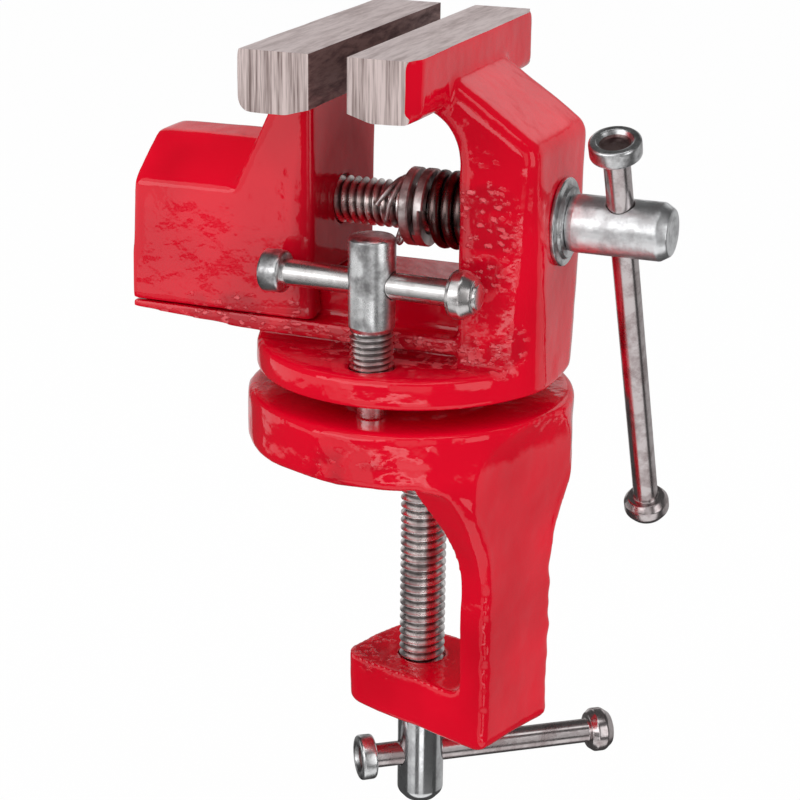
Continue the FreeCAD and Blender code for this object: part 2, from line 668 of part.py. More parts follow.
def make_washer(name, start, radius, thick, bore):
    """A flat ring on the lead screw."""
    body = on_screw(name)
    profile = outline(
        body, "RingProfile", "XZ_Plane", "0",
        (start, bore),
        (start, radius),
        (start + " + " + thick, radius),
        (start + " + " + thick, bore))
    turned(body, profile, "H_Axis")
    return body


def make_lead_spring():
    """A compression spring of round wire, its helix laid in short straight chords.

    Its coils fill the space between the washers and the upright, so its pitch follows from the
    fitted length, the wire and the number of turns.
    """
    turns = size("spring_turns")
    chords = int(round(turns * size("spring_chords")))
    rise = (size("spring_long") - 2 * size("spring_wire")) / chords
    step = 2 * math.pi * turns / chords
    reach = size("spring_coil") / math.cos(step / 2)
    start = size("upright_inner") - size("spring_long") + size("spring_wire")
    points = [Vector(start + rise * place, reach * math.cos(step * place), reach * math.sin(step * place))
              for place in range(chords + 1)]
    ahead = (points[1] - points[0]).normalize()
    outward = Vector(1, 0, 0).cross(ahead).normalize()
    upward = ahead.cross(outward)
    sides = int(size("spring_sides"))
    section = []
    for place in range(sides + 1):
        angle = 2 * math.pi * (place + 0.5) / sides
        spoke = outward * math.cos(angle) + upward * math.sin(angle)
        section.append(points[0] + spoke * size("spring_wire"))
    sweep = Part.BRepOffsetAPI.MakePipeShell(Part.makePolygon(points))
    sweep.setTransitionMode(1)
    sweep.add(Part.makePolygon(section))
    sweep.build()
    sweep.makeSolid()
    spring = doc.addObject("Part::Feature", "lead_spring")
    spring.Label = "lead_spring"
    spring.Shape = sweep.shape()
    spring.Placement = Placement(Vector(0, 0, 0), Rotation(Vector(1, 0, 0), 1))
    spring.setExpression("Placement.Base.x", bound("swivel_axis_x"))
    spring.setExpression("Placement.Base.z", bound("screw_z"))
    spring.setExpression("Placement.Rotation.Angle", bound("screw_angle"))
    doc.recompute()
    return spring


def make_cotter_pin():
    """A split pin through the screw: shank, folded eye and one leg bent over the washer side."""
    seat = "upright_inner - spring_long - 2 * washer_thick"
    body = on_screw("cotter_pin", along="swivel_axis_x + " + seat + " - pin_radius")
    shank = outline(
        body, "PinShank", "XZ_Plane", "0",
        ("0", "-screw_thread - pin_eye"),
        ("pin_radius", "-screw_thread - pin_eye"),
        ("pin_radius", "screw_thread + 1.6 * pin_radius"),
        ("0", "screw_thread + 2.4 * pin_radius"))
    turned(body, shank, "V_Axis")
    eye = ring(body, "PinEye", "YZ_Plane", "0", "0", "-screw_thread - pin_eye - 1.4 * pin_radius",
               "pin_eye + pin_radius / 2")
    pad(body, eye, "1.8 * pin_radius", both_ways=True)
    hole = ring(body, "PinEyeHole", "YZ_Plane", "0", "0", "-screw_thread - pin_eye - 1.4 * pin_radius",
                "pin_eye - pin_radius / 2")
    pocket(body, hole, "4 * pin_radius", both_ways=True)
    leg = ring(body, "PinLeg", "YZ_Plane", "-pin_leg", "0", "screw_thread + 0.9 * pin_radius",
               "0.6 * pin_radius")
    pad(body, leg, "pin_leg")
    return body


# --------------------------------------------------------------------------- handle bars

def bar_profile(body, left, right, cap_long):
    """A bar along its own X axis: a spigot for the cap at one end, a bulged knob at the other."""
    profile = outline(
        body, "BarProfile", "XZ_Plane", "0",
        ("-" + left + " + spigot_short", "0"),
        ("-" + left + " + spigot_short", "cap_spigot"),
        ("-" + left + " + " + cap_long, "cap_spigot"),
        ("-" + left + " + " + cap_long, "bar_radius"),
        (right + " - knob_long", "bar_radius"),
        (right + " - knob_long", "knob_radius - knob_swell"),
        (right + " - knob_long / 2", "knob_radius"),
        (right, "knob_flat"),
        (right, "0"))
    turned(body, profile, "H_Axis")


def cap_profile(body, left, radius, cap_long):
    """A turned cap over the bar's spigot, its outer face dished."""
    profile = outline(
        body, "CapProfile", "XZ_Plane", "0",
        ("-" + left + " + " + cap_long, "cap_spigot"),
        ("-" + left + " + " + cap_long, radius),
        ("-" + left, radius),
        ("-" + left, radius + " - cap_rim"),
        ("-" + left + " + cap_dish", radius + " - cap_rim"),
        ("-" + left + " + cap_dish", "0"),
        ("-" + left + " + spigot_short", "0"),
        ("-" + left + " + spigot_short", "cap_spigot"))
    turned(body, profile, "H_Axis")


def make_lead_bar():
    """The long handle through the lead screw's head."""
    places = dict(across="swivel_axis_x + upright_outer + collar_thick + screw_bar_along", up="screw_z")
    bar = upright_bar("lead_bar", places)
    profile = outline(
        bar, "BarProfile", "XZ_Plane", "0",
        ("0", "lead_bar_up - spigot_short"),
        ("cap_spigot", "lead_bar_up - spigot_short"),
        ("cap_spigot", "lead_bar_up - lead_cap_long"),
        ("bar_radius", "lead_bar_up - lead_cap_long"),
        ("bar_radius", "knob_long - lead_bar_down"),
        ("knob_radius - knob_swell", "knob_long - lead_bar_down"),
        ("knob_radius", "knob_long / 2 - lead_bar_down"),
        ("knob_flat", "-lead_bar_down"),
        ("0", "-lead_bar_down"))
    turned(bar, profile, "V_Axis")
    cap = upright_bar("lead_bar_cap", places)
    profile = outline(
        cap, "CapProfile", "XZ_Plane", "0",
        ("cap_spigot", "lead_bar_up - lead_cap_long"),
        ("lead_cap_radius", "lead_bar_up - lead_cap_long"),
        ("lead_cap_radius", "lead_bar_up"),
        ("lead_cap_radius - cap_rim", "lead_bar_up"),
        ("lead_cap_radius - cap_rim", "lead_bar_up - cap_dish"),
        ("0", "lead_bar_up - cap_dish"),
        ("0", "lead_bar_up - spigot_short"),
        ("cap_spigot", "lead_bar_up - spigot_short"))
    turned(cap, profile, "V_Axis")


def upright_bar(name, places):
    """A body at the lead handle's hole, turned with the screw."""
    return new_body(name, across=places["across"], up=places["up"], axis=Vector(1, 0, 0), turn="screw_angle")


def make_lock_bar():
    """The short handle through the lock screw's head."""
    places = dict(across="swivel_axis_x + lock_axis_x", aside="-block_half - lock_from_block",
                  up="lock_bar_z", turn="lock_angle")
    bar = new_body("lock_bar", **places)
    bar_profile(bar, "lock_bar_left", "lock_bar_right", "lock_cap_long")
    cap = new_body("lock_bar_cap", **places)
    cap_profile(cap, "lock_bar_left", "lock_cap_radius", "lock_cap_long")


def make_lock_screw():
    """Plain head, thread through the disc, and a nose that bears on the bracket."""
    body = new_body("lock_screw", across="swivel_axis_x + lock_axis_x",
                    aside="-block_half - lock_from_block", turn="lock_angle")
    profile = outline(
        body, "ScrewProfile", "XZ_Plane", "0",
        ("0", "base_height"),
        ("lock_nose", "base_height"),
        ("lock_nose", "base_height + lock_nose_long"),
        ("lock_thread", "base_height + lock_nose_long"),
        ("lock_thread", "lock_head_low"),
        ("lock_head", "lock_head_low"),
        ("lock_head", "lock_head_high"),
        ("0", "lock_head_high"))
    turned(body, profile, "V_Axis")
    across = ring(body, "HandleHole", "YZ_Plane", "0", "0", "lock_bar_z", "bar_radius + slide_fit")
    pocket(body, across, "4 * lock_head", both_ways=True)
    return body


# --------------------------------------------------------------------------- table clamp

def clamp_x():
    """The clamp screw's axis seen from the datum point, along the vise."""
    return "swivel_axis_x + clamp_axis_x * cos(bracket_angle)"


def clamp_y():
    """The clamp screw's axis seen from the datum point, across the vise."""
    return "clamp_axis_x * sin(bracket_angle)"


def make_clamp_screw():
    """Nose in the pad, thread through the lug, plain head below."""
    body = new_body("clamp_screw", across=clamp_x(), aside=clamp_y(), turn="clamp_bar_angle")
    tip = "-pad_open - pad_thick"
    profile = outline(
        body, "ScrewProfile", "XZ_Plane", "0",
        ("0", tip + " + pad_socket_deep"),
        ("0", "-clamp_head_top - clamp_head_long"),
        ("clamp_head - clamp_head_round", "-clamp_head_top - clamp_head_long"),
        ("clamp_head", "-clamp_head_top - clamp_head_long + clamp_head_round"),
        ("clamp_head", "-clamp_head_top"),
        ("clamp_thread", "-clamp_head_top"),
        ("clamp_thread", tip),
        ("pad_socket", tip),
        ("pad_socket", tip + " + pad_socket_deep"))
    turned(body, profile, "V_Axis")
    across = ring(body, "HandleHole", "YZ_Plane", "0", "0", "-clamp_bar_deep", "bar_radius + slide_fit")
    pocket(body, across, "4 * clamp_head", both_ways=True)
    return body


def make_clamp_pad():
    """The pad that presses on the table from below, with a socket for the screw's nose."""
    body = new_body("clamp_pad", across=clamp_x(), aside=clamp_y(), turn="bracket_angle")
    profile = outline(
        body, "PadProfile", "XZ_Plane", "0",
        ("0", "-pad_open"),
        ("0", "-pad_open - pad_thick + pad_socket_deep"),
        ("pad_socket + slide_fit", "-pad_open - pad_thick + pad_socket_deep"),
        ("pad_socket + slide_fit", "-pad_open - pad_thick"),
        ("pad_radius - pad_step", "-pad_open - pad_thick"),
        ("pad_radius - pad_step", "-pad_open - pad_thick / 2"),
        ("pad_radius", "-pad_open - pad_thick / 2"),
        ("pad_radius", "-pad_open"))
    turned(body, profile, "V_Axis")
    return body


def make_clamp_bar():
    """The handle through the clamp screw's head."""
    places = dict(across=clamp_x(), aside=clamp_y(), up="-clamp_bar_deep", turn="clamp_bar_angle")
    bar = new_body("clamp_bar", **places)
    bar_profile(bar, "clamp_bar_left", "clamp_bar_right", "clamp_cap_long")
    cap = new_body("clamp_bar_cap", **places)
    cap_profile(cap, "clamp_bar_left", "clamp_cap_radius", "clamp_cap_long")


# --------------------------------------------------------------------------- pivot bolt

def make_pivot_bolt():
    """A hexagon bolt from below, tapped into the vise body."""
    body = new_body("pivot_bolt")
    head_top = "pivot_counterbore_deep - pivot_washer_thick"
    corner = "pivot_flats / 2 / cos(30)"
    side = "pivot_flats / 2 * tan(30)"
    head = outline(
        body, "BoltHead", "XY_Plane", head_top + " - pivot_head_thick",
        (corner, "0"),
        (side, "pivot_flats / 2"),
        ("-" + side, "pivot_flats / 2"),
        ("-" + corner, "0"),
        ("-" + side, "-pivot_flats / 2"),
        (side, "-pivot_flats / 2"))
    pad(body, head, "pivot_head_thick")
    shank = ring(body, "BoltShank", "XY_Plane", head_top + " - 1", "0", "0", "pivot_radius")
    pad(body, shank, "base_height + pivot_reach - pivot_counterbore_deep + pivot_washer_thick + 1")
    return body


def make_pivot_washer():
    """The washer between the bolt's head and the bracket."""
    body = new_body("pivot_washer")
    profile = outline(
        body, "WasherProfile", "XZ_Plane", "0",
        ("pivot_radius + slide_fit", "pivot_counterbore_deep - pivot_washer_thick"),
        ("pivot_washer_radius", "pivot_counterbore_deep - pivot_washer_thick"),
        ("pivot_washer_radius", "pivot_counterbore_deep"),
        ("pivot_radius + slide_fit", "pivot_counterbore_deep"))
    turned(body, profile, "V_Axis")
    return body


make_clamp_bracket()
make_clamp_pad()
make_clamp_screw()
make_clamp_bar()
make_swivel_body()
make_pivot_bolt()
make_pivot_washer()
make_lock_screw()
make_lock_bar()
make_movable_jaw()
make_lead_screw()
make_washer("thrust_collar", "upright_outer", "collar_radius", "collar_thick", "screw_thread + thread_gap")
make_lead_spring()
make_washer("spring_washer", "upright_inner - spring_long - washer_thick", "washer_radius",
            "washer_thick", "screw_thread + thread_gap")
make_washer("pin_washer", "upright_inner - spring_long - 2 * washer_thick", "washer_radius",
            "washer_thick", "screw_thread + thread_gap")
make_cotter_pin()
make_lead_bar()
doc.recompute()

# ------------------------------------------------------------------------------- export

failed = [item.Label for item in doc.Objects if {"Invalid", "Error"} & set(item.State)]
if failed:
    raise RuntimeError("failed: %s" % failed)
subparts = [item for item in doc.Objects if item.TypeId in ("PartDesign::Body", "Part::Feature")]
for item in subparts:
    if item.Shape.isNull() or not item.Shape.isValid() or len(item.Shape.Solids) != 1:
        raise RuntimeError("bad shape: %s" % item.Label)
for item in subparts:
    item.Shape.exportStep("parts/%s.step" % item.Label)
    box = item.Shape.BoundBox
    print("%-14s volume %9.1f  x %7.2f..%7.2f  y %7.2f..%7.2f  z %7.2f..%7.2f" % (
        item.Label, item.Shape.Volume, box.XMin, box.XMax, box.YMin, box.YMax, box.ZMin, box.ZMax))
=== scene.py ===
# %% [markdown]
# # A small clamp-on vise, dressed over its fixed frame
#
# This lesson dresses a table vise of red enamelled cast iron. The measured solids come in first
# and never move: each piece below is laid over one of them, in metres, and moves with the same
# body. Castings are made from the solids themselves, melted into one soft skin. Screws, handles,
# washers and the spring are drawn from their profiles, because their edges and threads are crisp.

import math

import bmesh
import bpy
import numpy as np
from mathutils import Matrix, Vector, noise


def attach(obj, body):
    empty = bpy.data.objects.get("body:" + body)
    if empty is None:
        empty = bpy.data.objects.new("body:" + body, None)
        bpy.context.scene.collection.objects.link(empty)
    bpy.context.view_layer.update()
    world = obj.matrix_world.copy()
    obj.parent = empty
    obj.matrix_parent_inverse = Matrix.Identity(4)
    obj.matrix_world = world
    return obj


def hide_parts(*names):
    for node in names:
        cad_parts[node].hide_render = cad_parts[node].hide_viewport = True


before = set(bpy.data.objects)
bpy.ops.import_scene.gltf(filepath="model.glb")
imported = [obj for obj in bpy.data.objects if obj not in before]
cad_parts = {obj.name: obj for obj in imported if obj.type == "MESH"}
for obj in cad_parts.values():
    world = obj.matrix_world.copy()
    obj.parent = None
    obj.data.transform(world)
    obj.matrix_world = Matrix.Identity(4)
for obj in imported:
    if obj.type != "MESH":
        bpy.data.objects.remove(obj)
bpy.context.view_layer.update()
MM = 0.001
print("nodes", len(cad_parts))

# %% [markdown]
# ## The camera
#
# The vise is seen from slightly above and a little from the right, through a long lens from
# nearly half a metre away. A long lens keeps parallel edges nearly parallel, which suits a small
# tool. The camera could be aimed with a Track To constraint, but its own three axes, written as
# the columns of a matrix, also hold the small roll that a hand-levelled camera has.

# %% Camera
AZIMUTH, ELEVATION, ROLL = (math.radians(a) for a in (22.78, 18.96, 0.31))
EYE = (0.18462, -0.41615, 0.16092)
LENS, SENSOR = 99.62, 36
SHIFT = (0.041, 0.0035)

right = Vector((math.cos(AZIMUTH), math.sin(AZIMUTH), 0))
ahead = Vector((-math.sin(AZIMUTH) * math.cos(ELEVATION),
                math.cos(AZIMUTH) * math.cos(ELEVATION), -math.sin(ELEVATION)))
above = right.cross(ahead)
rolled_right = right * math.cos(ROLL) + above * math.sin(ROLL)
rolled_above = above * math.cos(ROLL) - right * math.sin(ROLL)
axes = Matrix((rolled_right, rolled_above, -ahead)).transposed().to_4x4()

camera_data = bpy.data.cameras.new("studio_camera")
camera_data.lens = LENS
camera_data.sensor_width = SENSOR
camera_data.shift_x, camera_data.shift_y = SHIFT
camera_data.clip_start = 0.01
camera = bpy.data.objects.new("studio_camera", camera_data)
bpy.context.scene.collection.objects.link(camera)
camera.matrix_world = Matrix.Translation(EYE) @ axes
bpy.context.scene.camera = camera
bpy.context.scene.view_settings.view_transform = "Standard"
print("camera at", [round(c, 3) for c in camera.matrix_world.translation])

# %% [markdown]
# ## Wiring nodes
#
# The room and every finish are small machines of nodes joined by wires. They could be wired by
# hand in the editor. In a script, three helpers keep that short: one joins two sockets, one adds
# a Math node over sockets or plain numbers, and one makes a soft band that is one inside two
# limits.

# %% Node helpers


def wire(tree, source, target):
    """Join an output socket to an input socket."""
    tree.links.new(source, target)


def calc(tree, operation, *values, clamp=False):
    """A Math node over sockets and numbers."""
    node = tree.nodes.new("ShaderNodeMath")
    node.operation = operation
    node.use_clamp = clamp
    for place, value in enumerate(values):
        if isinstance(value, bpy.types.NodeSocket):
            wire(tree, value, node.inputs[place])
        else:
            node.inputs[place].default_value = value
    return node.outputs[0]


def between(tree, value, low, high, soft):
    """One between two values and nothing outside them, with soft borders inside."""
    rising = calc(tree, "MULTIPLY_ADD", value, 1 / soft, -low / soft, clamp=True)
    falling = calc(tree, "MULTIPLY_ADD", value, -1 / soft, high / soft, clamp=True)
    return calc(tree, "MULTIPLY", rising, falling)


print("node helpers ready")

# %% [markdown]
# ## The room
#
# Gloss only shows what stands around it, so a glossy vise needs a room worth reflecting. The
# world colour is that room, drawn from the direction alone. Each row of the list is a soft window
# of light, placed by its bearing from the camera's side of the room and its height over the
# horizon, in degrees. Windows that overlap don't add up: the brighter one wins. The wall between
# them is nearly black, because that keeps the red deep and gives the steel its dark lines. Matt
# light comes from an even sky, and the camera sees plain white. A panorama image wrapped round
# the scene would do the same, but a list is easier to tune and needs no file.

# %% Windows
# bearing from, to, height from, to, border, brightness
WINDOWS = [
    (-128, -58, -19.6, 4, 1.5, 0.85),
    (-61, -44.5, -17.6, 4, 1.2, 0.85),
    (-54.5, -44.5, -17.6, 4, 1.2, 1.25),
    (-61, -46, -20.5, -17.9, 0.6, 0.75),
    (-74, -16, 3, 28, 2, 2.3),
    (-74, -10, 26, 56, 4, 1.10),
    (-68, -46, -33, -18.6, 1, 0.62),
    (-50, -27, -20.6, -18.1, 0.8, 1.6),
    (-47, -27, -33, -20.2, 1, 0.80),
    (-28, 10, -22, -17.9, 1.2, 2.7),
    (-15, 16, -17, 30, 5, 0.75),
    (-9, 15, -33, -21, 2, 1.35),
    (28, 60, -17, 36, 3, 1.5),
    (84, 181, -36, 20, 6, 0.44),
    (136, 168, 12, 42, 9, 0.80),
    (165, 181, 8, 21, 4, 0.75),
    (-181, -152, -36, 44, 8, 0.60),
    (-70, 62, 56, 76, 5, 1.6),
    (-62, 70, -91, -33, 5, 0.90),
]
DARK_WALL = 0.07
SKY, SKY_RISE = 0.80, 0.16
TURN = (0.922, 0.387)  # the cosine and sine of the camera's azimuth
print("windows", len(WINDOWS))

# %% World
DEGREES = 180 / math.pi

world = bpy.data.worlds.new("studio_room")
bpy.context.scene.world = world
world.use_nodes = True
tree = world.node_tree
tree.nodes.clear()
way = tree.nodes.new("ShaderNodeTexCoord")
split = tree.nodes.new("ShaderNodeSeparateXYZ")
wire(tree, way.outputs["Generated"], split.inputs[0])
x, y, z = split.outputs
to_right = calc(tree, "ADD", calc(tree, "MULTIPLY", x, TURN[0]),
                calc(tree, "MULTIPLY", y, TURN[1]))
to_front = calc(tree, "SUBTRACT", calc(tree, "MULTIPLY", x, TURN[1]),
                calc(tree, "MULTIPLY", y, TURN[0]))
bearing = calc(tree, "MULTIPLY", calc(tree, "ARCTAN2", to_right, to_front), DEGREES)
height = calc(tree, "MULTIPLY", calc(tree, "ARCSINE", z), DEGREES)
room = DARK_WALL
for left, far, low, high, border, level in WINDOWS:
    shape = calc(tree, "MULTIPLY", between(tree, bearing, left, far, border),
                 between(tree, height, low, high, border))
    room = calc(tree, "MAXIMUM", room, calc(tree, "MULTIPLY", shape, level))
sky = calc(tree, "MULTIPLY_ADD", z, SKY_RISE, SKY)
seen = tree.nodes.new("ShaderNodeLightPath")
glossy = seen.outputs["Is Glossy Ray"]
inside = calc(tree, "ADD", calc(tree, "MULTIPLY", room, glossy),
              calc(tree, "MULTIPLY", sky, calc(tree, "SUBTRACT", 1.0, glossy)))
light = calc(tree, "MAXIMUM", inside, seen.outputs["Is Camera Ray"])
backing = tree.nodes.new("ShaderNodeBackground")
backing.inputs["Color"].default_value = (1, 1, 1, 1)
wire(tree, light, backing.inputs["Strength"])
wire(tree, backing.outputs[0], tree.nodes.new("ShaderNodeOutputWorld").inputs[0])
print("room nodes", len(tree.nodes))

# %% [markdown]
# ## Lamps
#
# A soft box is a wide, even lamp. Three of them give the even sky a direction: a broad one on the
# left, a weaker one on the right and one overhead. They are hidden from reflections, because the
# windows of the room already draw the highlights. Sun lamps would cast edges that are too hard.

# %% Lamps


def soft_box(name, place, target, width, height, watts):
    """An area lamp that faces a target."""
    data = bpy.data.lights.new(name, "AREA")
    data.shape = "RECTANGLE"
    data.size, data.size_y = width, height
    data.energy = watts
    lamp = bpy.data.objects.new(name, data)
    bpy.context.scene.collection.objects.link(lamp)
    aim = (Vector(target) - Vector(place)).to_track_quat("-Z", "Y")
    lamp.matrix_world = Matrix.Translation(place) @ aim.to_matrix().to_4x4()
    lamp.visible_glossy = False
    return lamp


lamps = [
    soft_box("box_left", (-0.55, -0.75, 0.55), (0, 0, 0.03), 0.6, 0.6, 1.6),
    soft_box("box_right", (0.90, -0.30, 0.35), (0.03, 0, 0.02), 0.5, 0.8, 0.85),
    soft_box("box_top", (0.05, -0.10, 1.0), (0.02, 0, 0.03), 0.8, 0.8, 1.2),
]
print("lamps", [lamp.name for lamp in lamps])

# %% [markdown]
# ## The floor
#
# The vise hangs on a table in use, and its clamp screw comes down a long way when it opens. The
# pale floor therefore lies below the lowest reach of that screw. It catches the soft shadow. A
# share of plain white is mixed in for the camera only, so that the floor melts into the
# background. More light on the floor would whiten it too, but it would also wash out the vise.

# %% Floor
FLOOR = -0.129
CAMERA_WHITE = 0.94

bpy.ops.mesh.primitive_grid_add(x_subdivisions=8, y_subdivisions=8, size=6, location=(0, 0, FLOOR))
floor = bpy.context.object
floor.name = "floor"
floor.visible_glossy = False
paper = bpy.data.materials.new("pale_paper")
paper.use_nodes = True
tree = paper.node_tree
shade = tree.nodes["Principled BSDF"]
shade.inputs["Base Color"].default_value = (0.9, 0.9, 0.9, 1)
shade.inputs["Roughness"].default_value = 0.9
shade.inputs["Specular IOR Level"].default_value = 0.1
glow = tree.nodes.new("ShaderNodeEmission")
seen = tree.nodes.new("ShaderNodeLightPath")
both = tree.nodes.new("ShaderNodeMixShader")
share = calc(tree, "MULTIPLY", seen.outputs["Is Camera Ray"], CAMERA_WHITE)
wire(tree, share, both.inputs["Fac"])
wire(tree, shade.outputs[0], both.inputs[1])
wire(tree, glow.outputs[0], both.inputs[2])
wire(tree, both.outputs[0], tree.nodes["Material Output"].inputs["Surface"])
floor.data.materials.append(paper)
print("floor at", FLOOR)

# %% [markdown]
# ## Finishes: how they are wired
#
# Every finish below is made of noise read at the piece's own coordinates, so that it stays put
# when the piece moves. One helper reads noise at a chosen grain in millimetres, others turn it
# into colours, mix them or measure how far a point lies from a place, and one stacks bumps of
# different sizes. Painted image maps could do the same, but noise has no seams and needs no
# unwrapping.

# %% Noise in millimetres


def new_finish(name):
    """A material with its node tree, its shader and its own coordinates."""
    finish = bpy.data.materials.new(name)
    finish.use_nodes = True
    tree = finish.node_tree
    place = tree.nodes.new("ShaderNodeTexCoord").outputs["Object"]
    return finish, tree, tree.nodes["Principled BSDF"], place


def stretched(tree, place, across, depth, up, offset=(0, 0, 0)):
    """The coordinates in grains: how many millimetres a grain is along x, y and z."""
    node = tree.nodes.new("ShaderNodeMapping")
    node.inputs["Scale"].default_value = (1000 / across, 1000 / depth, 1000 / up)
    node.inputs["Location"].default_value = offset
    wire(tree, place, node.inputs["Vector"])
    return node.outputs[0]


def grain(tree, place, detail=3.0, rough=0.5):
    """Noise over coordinates that are already in grains."""
    node = tree.nodes.new("ShaderNodeTexNoise")
    node.inputs["Scale"].default_value = 1
    node.inputs["Detail"].default_value = detail
    node.inputs["Roughness"].default_value = rough
    wire(tree, place, node.inputs["Vector"])
    return node.outputs["Fac"]


print("noise ready")

# %% Colours and ranges


def ramp(tree, value, *stops):
    """Colours along a value. Each stop is (position, colour)."""
    node = tree.nodes.new("ShaderNodeValToRGB")
    strip = node.color_ramp
    while len(strip.elements) < len(stops):
        strip.elements.new(0.5)
    for element, (position, colour) in zip(strip.elements, stops):
        element.position = position
        element.color = (*colour, 1)
    wire(tree, value, node.inputs[0])
    return node.outputs[0]


def mixed(tree, share, under, over):
    """A wired colour with a share of a plain colour over it."""
    node = tree.nodes.new("ShaderNodeMix")
    node.data_type = "RGBA"
    wire(tree, share, node.inputs["Factor"])
    wire(tree, under, node.inputs["A"])
    node.inputs["B"].default_value = (*over, 1)
    return node.outputs["Result"]


def scaled(tree, value, low, high, new_low=0.0, new_high=1.0):
    """A value moved from one range to another, and kept inside it."""
    node = tree.nodes.new("ShaderNodeMapRange")
    node.clamp = True
    for name, number in (("From Min", low), ("From Max", high),
                         ("To Min", new_low), ("To Max", new_high)):
        node.inputs[name].default_value = number
    wire(tree, value, node.inputs["Value"])
    return node.outputs[0]


print("colours ready")

# %% Distance and bumps


def distance(tree, place, centre, reach):
    """How far a point lies from a centre, in reaches. Both are (x, y, z) in millimetres."""
    node = tree.nodes.new("ShaderNodeMapping")
    node.vector_type = "TEXTURE"
    node.inputs["Location"].default_value = [c * MM for c in centre]
    node.inputs["Scale"].default_value = [r * MM for r in reach]
    wire(tree, place, node.inputs["Vector"])
    length = tree.nodes.new("ShaderNodeVectorMath")
    length.operation = "LENGTH"
    wire(tree, node.outputs[0], length.inputs[0])
    return length.outputs["Value"]


def bumps(tree, shade, *layers):
    """Bumps stacked on each other. Each layer is (height, millimetres, strength)."""
    below = None
    for height, depth, strength in layers:
        node = tree.nodes.new("ShaderNodeBump")
        node.inputs["Distance"].default_value = depth * MM
        node.inputs["Strength"].default_value = strength
        wire(tree, height, node.inputs["Height"])
        if below:
            wire(tree, below, node.inputs["Normal"])
        below = node.outputs[0]
    wire(tree, below, shade.inputs["Normal"])
    return below


print("bumps ready")

# %% [markdown]
# ## Red enamel
#
# The castings are dipped in thick red enamel straight over the sand-cast skin. Slow lumps come
# from the mould, and they are modelled in the mesh. An orange peel of a millimetre or so comes
# from the paint. Here and there the mould was rough: the paint covers single droplets of sand
# there, and on one edge a whole crust of them. A pale pink is painted on their crowns as a
# highlight, and the gaps between the droplets are painted darker as shade. Soft balls of space
# tell where those places lie. The droplets are the cells of a Voronoi pattern, some of them left
# out and the others bent by noise, because plain noise gives worms rather than drops. Peel and
# grit are bumps, and a clear coat on top gives the wet sparkle. On the front wall of the jaw's
# block a dark red is painted as shade, and the coat there is thinner, so that it reflects less.

# %% Rough places


def patches(tree, place, spots):
    """One inside the spots and nothing outside. Each spot is (centre, reach) in millimetres."""
    total = None
    for centre, reach in spots:
        inside = scaled(tree, distance(tree, place, centre, reach), 0.55, 1.0, 1.0, 0.0)
        total = inside if total is None else calc(tree, "MAXIMUM", total, inside)
    return total


def droplets(tree, place):
    """Single drops of sand under the paint."""
    cells = tree.nodes.new("ShaderNodeTexVoronoi")
    cells.inputs["Scale"].default_value = 1
    wire(tree, stretched(tree, place, 2.3, 2.3, 1.35, (3, 1, 5)), cells.inputs["Vector"])
    bend = grain(tree, stretched(tree, place, 1.0, 1.0, 1.0), 2)
    edge = calc(tree, "MULTIPLY_ADD", bend, 1.1,
                calc(tree, "SUBTRACT", cells.outputs["Distance"], 0.55))
    some = scaled(tree, cells.outputs["Color"], 0.36, 0.40)
    return calc(tree, "MULTIPLY", some, scaled(tree, edge, 0.24, 0.42, 1.0, 0.0))


def clots(tree, place):
    """Grains of sand caked together."""
    coarse = grain(tree, stretched(tree, place, 3.2, 3.2, 2.2, (4, 2, 3)), 3, 0.6)
    return scaled(tree, coarse, 0.50, 0.56)


print("rough places ready")

# %% Enamel
DEEP_RED, BRIGHT_RED = (0.57, 0.0006, 0.013), (0.75, 0.0012, 0.019)
# The first colour below is painted shade, and the second a painted highlight on the crowns of the
# sand droplets.
SHADE_RED, HIGHLIGHT_PINK = (0.13, 0.004, 0.008), (0.86, 0.19, 0.21)


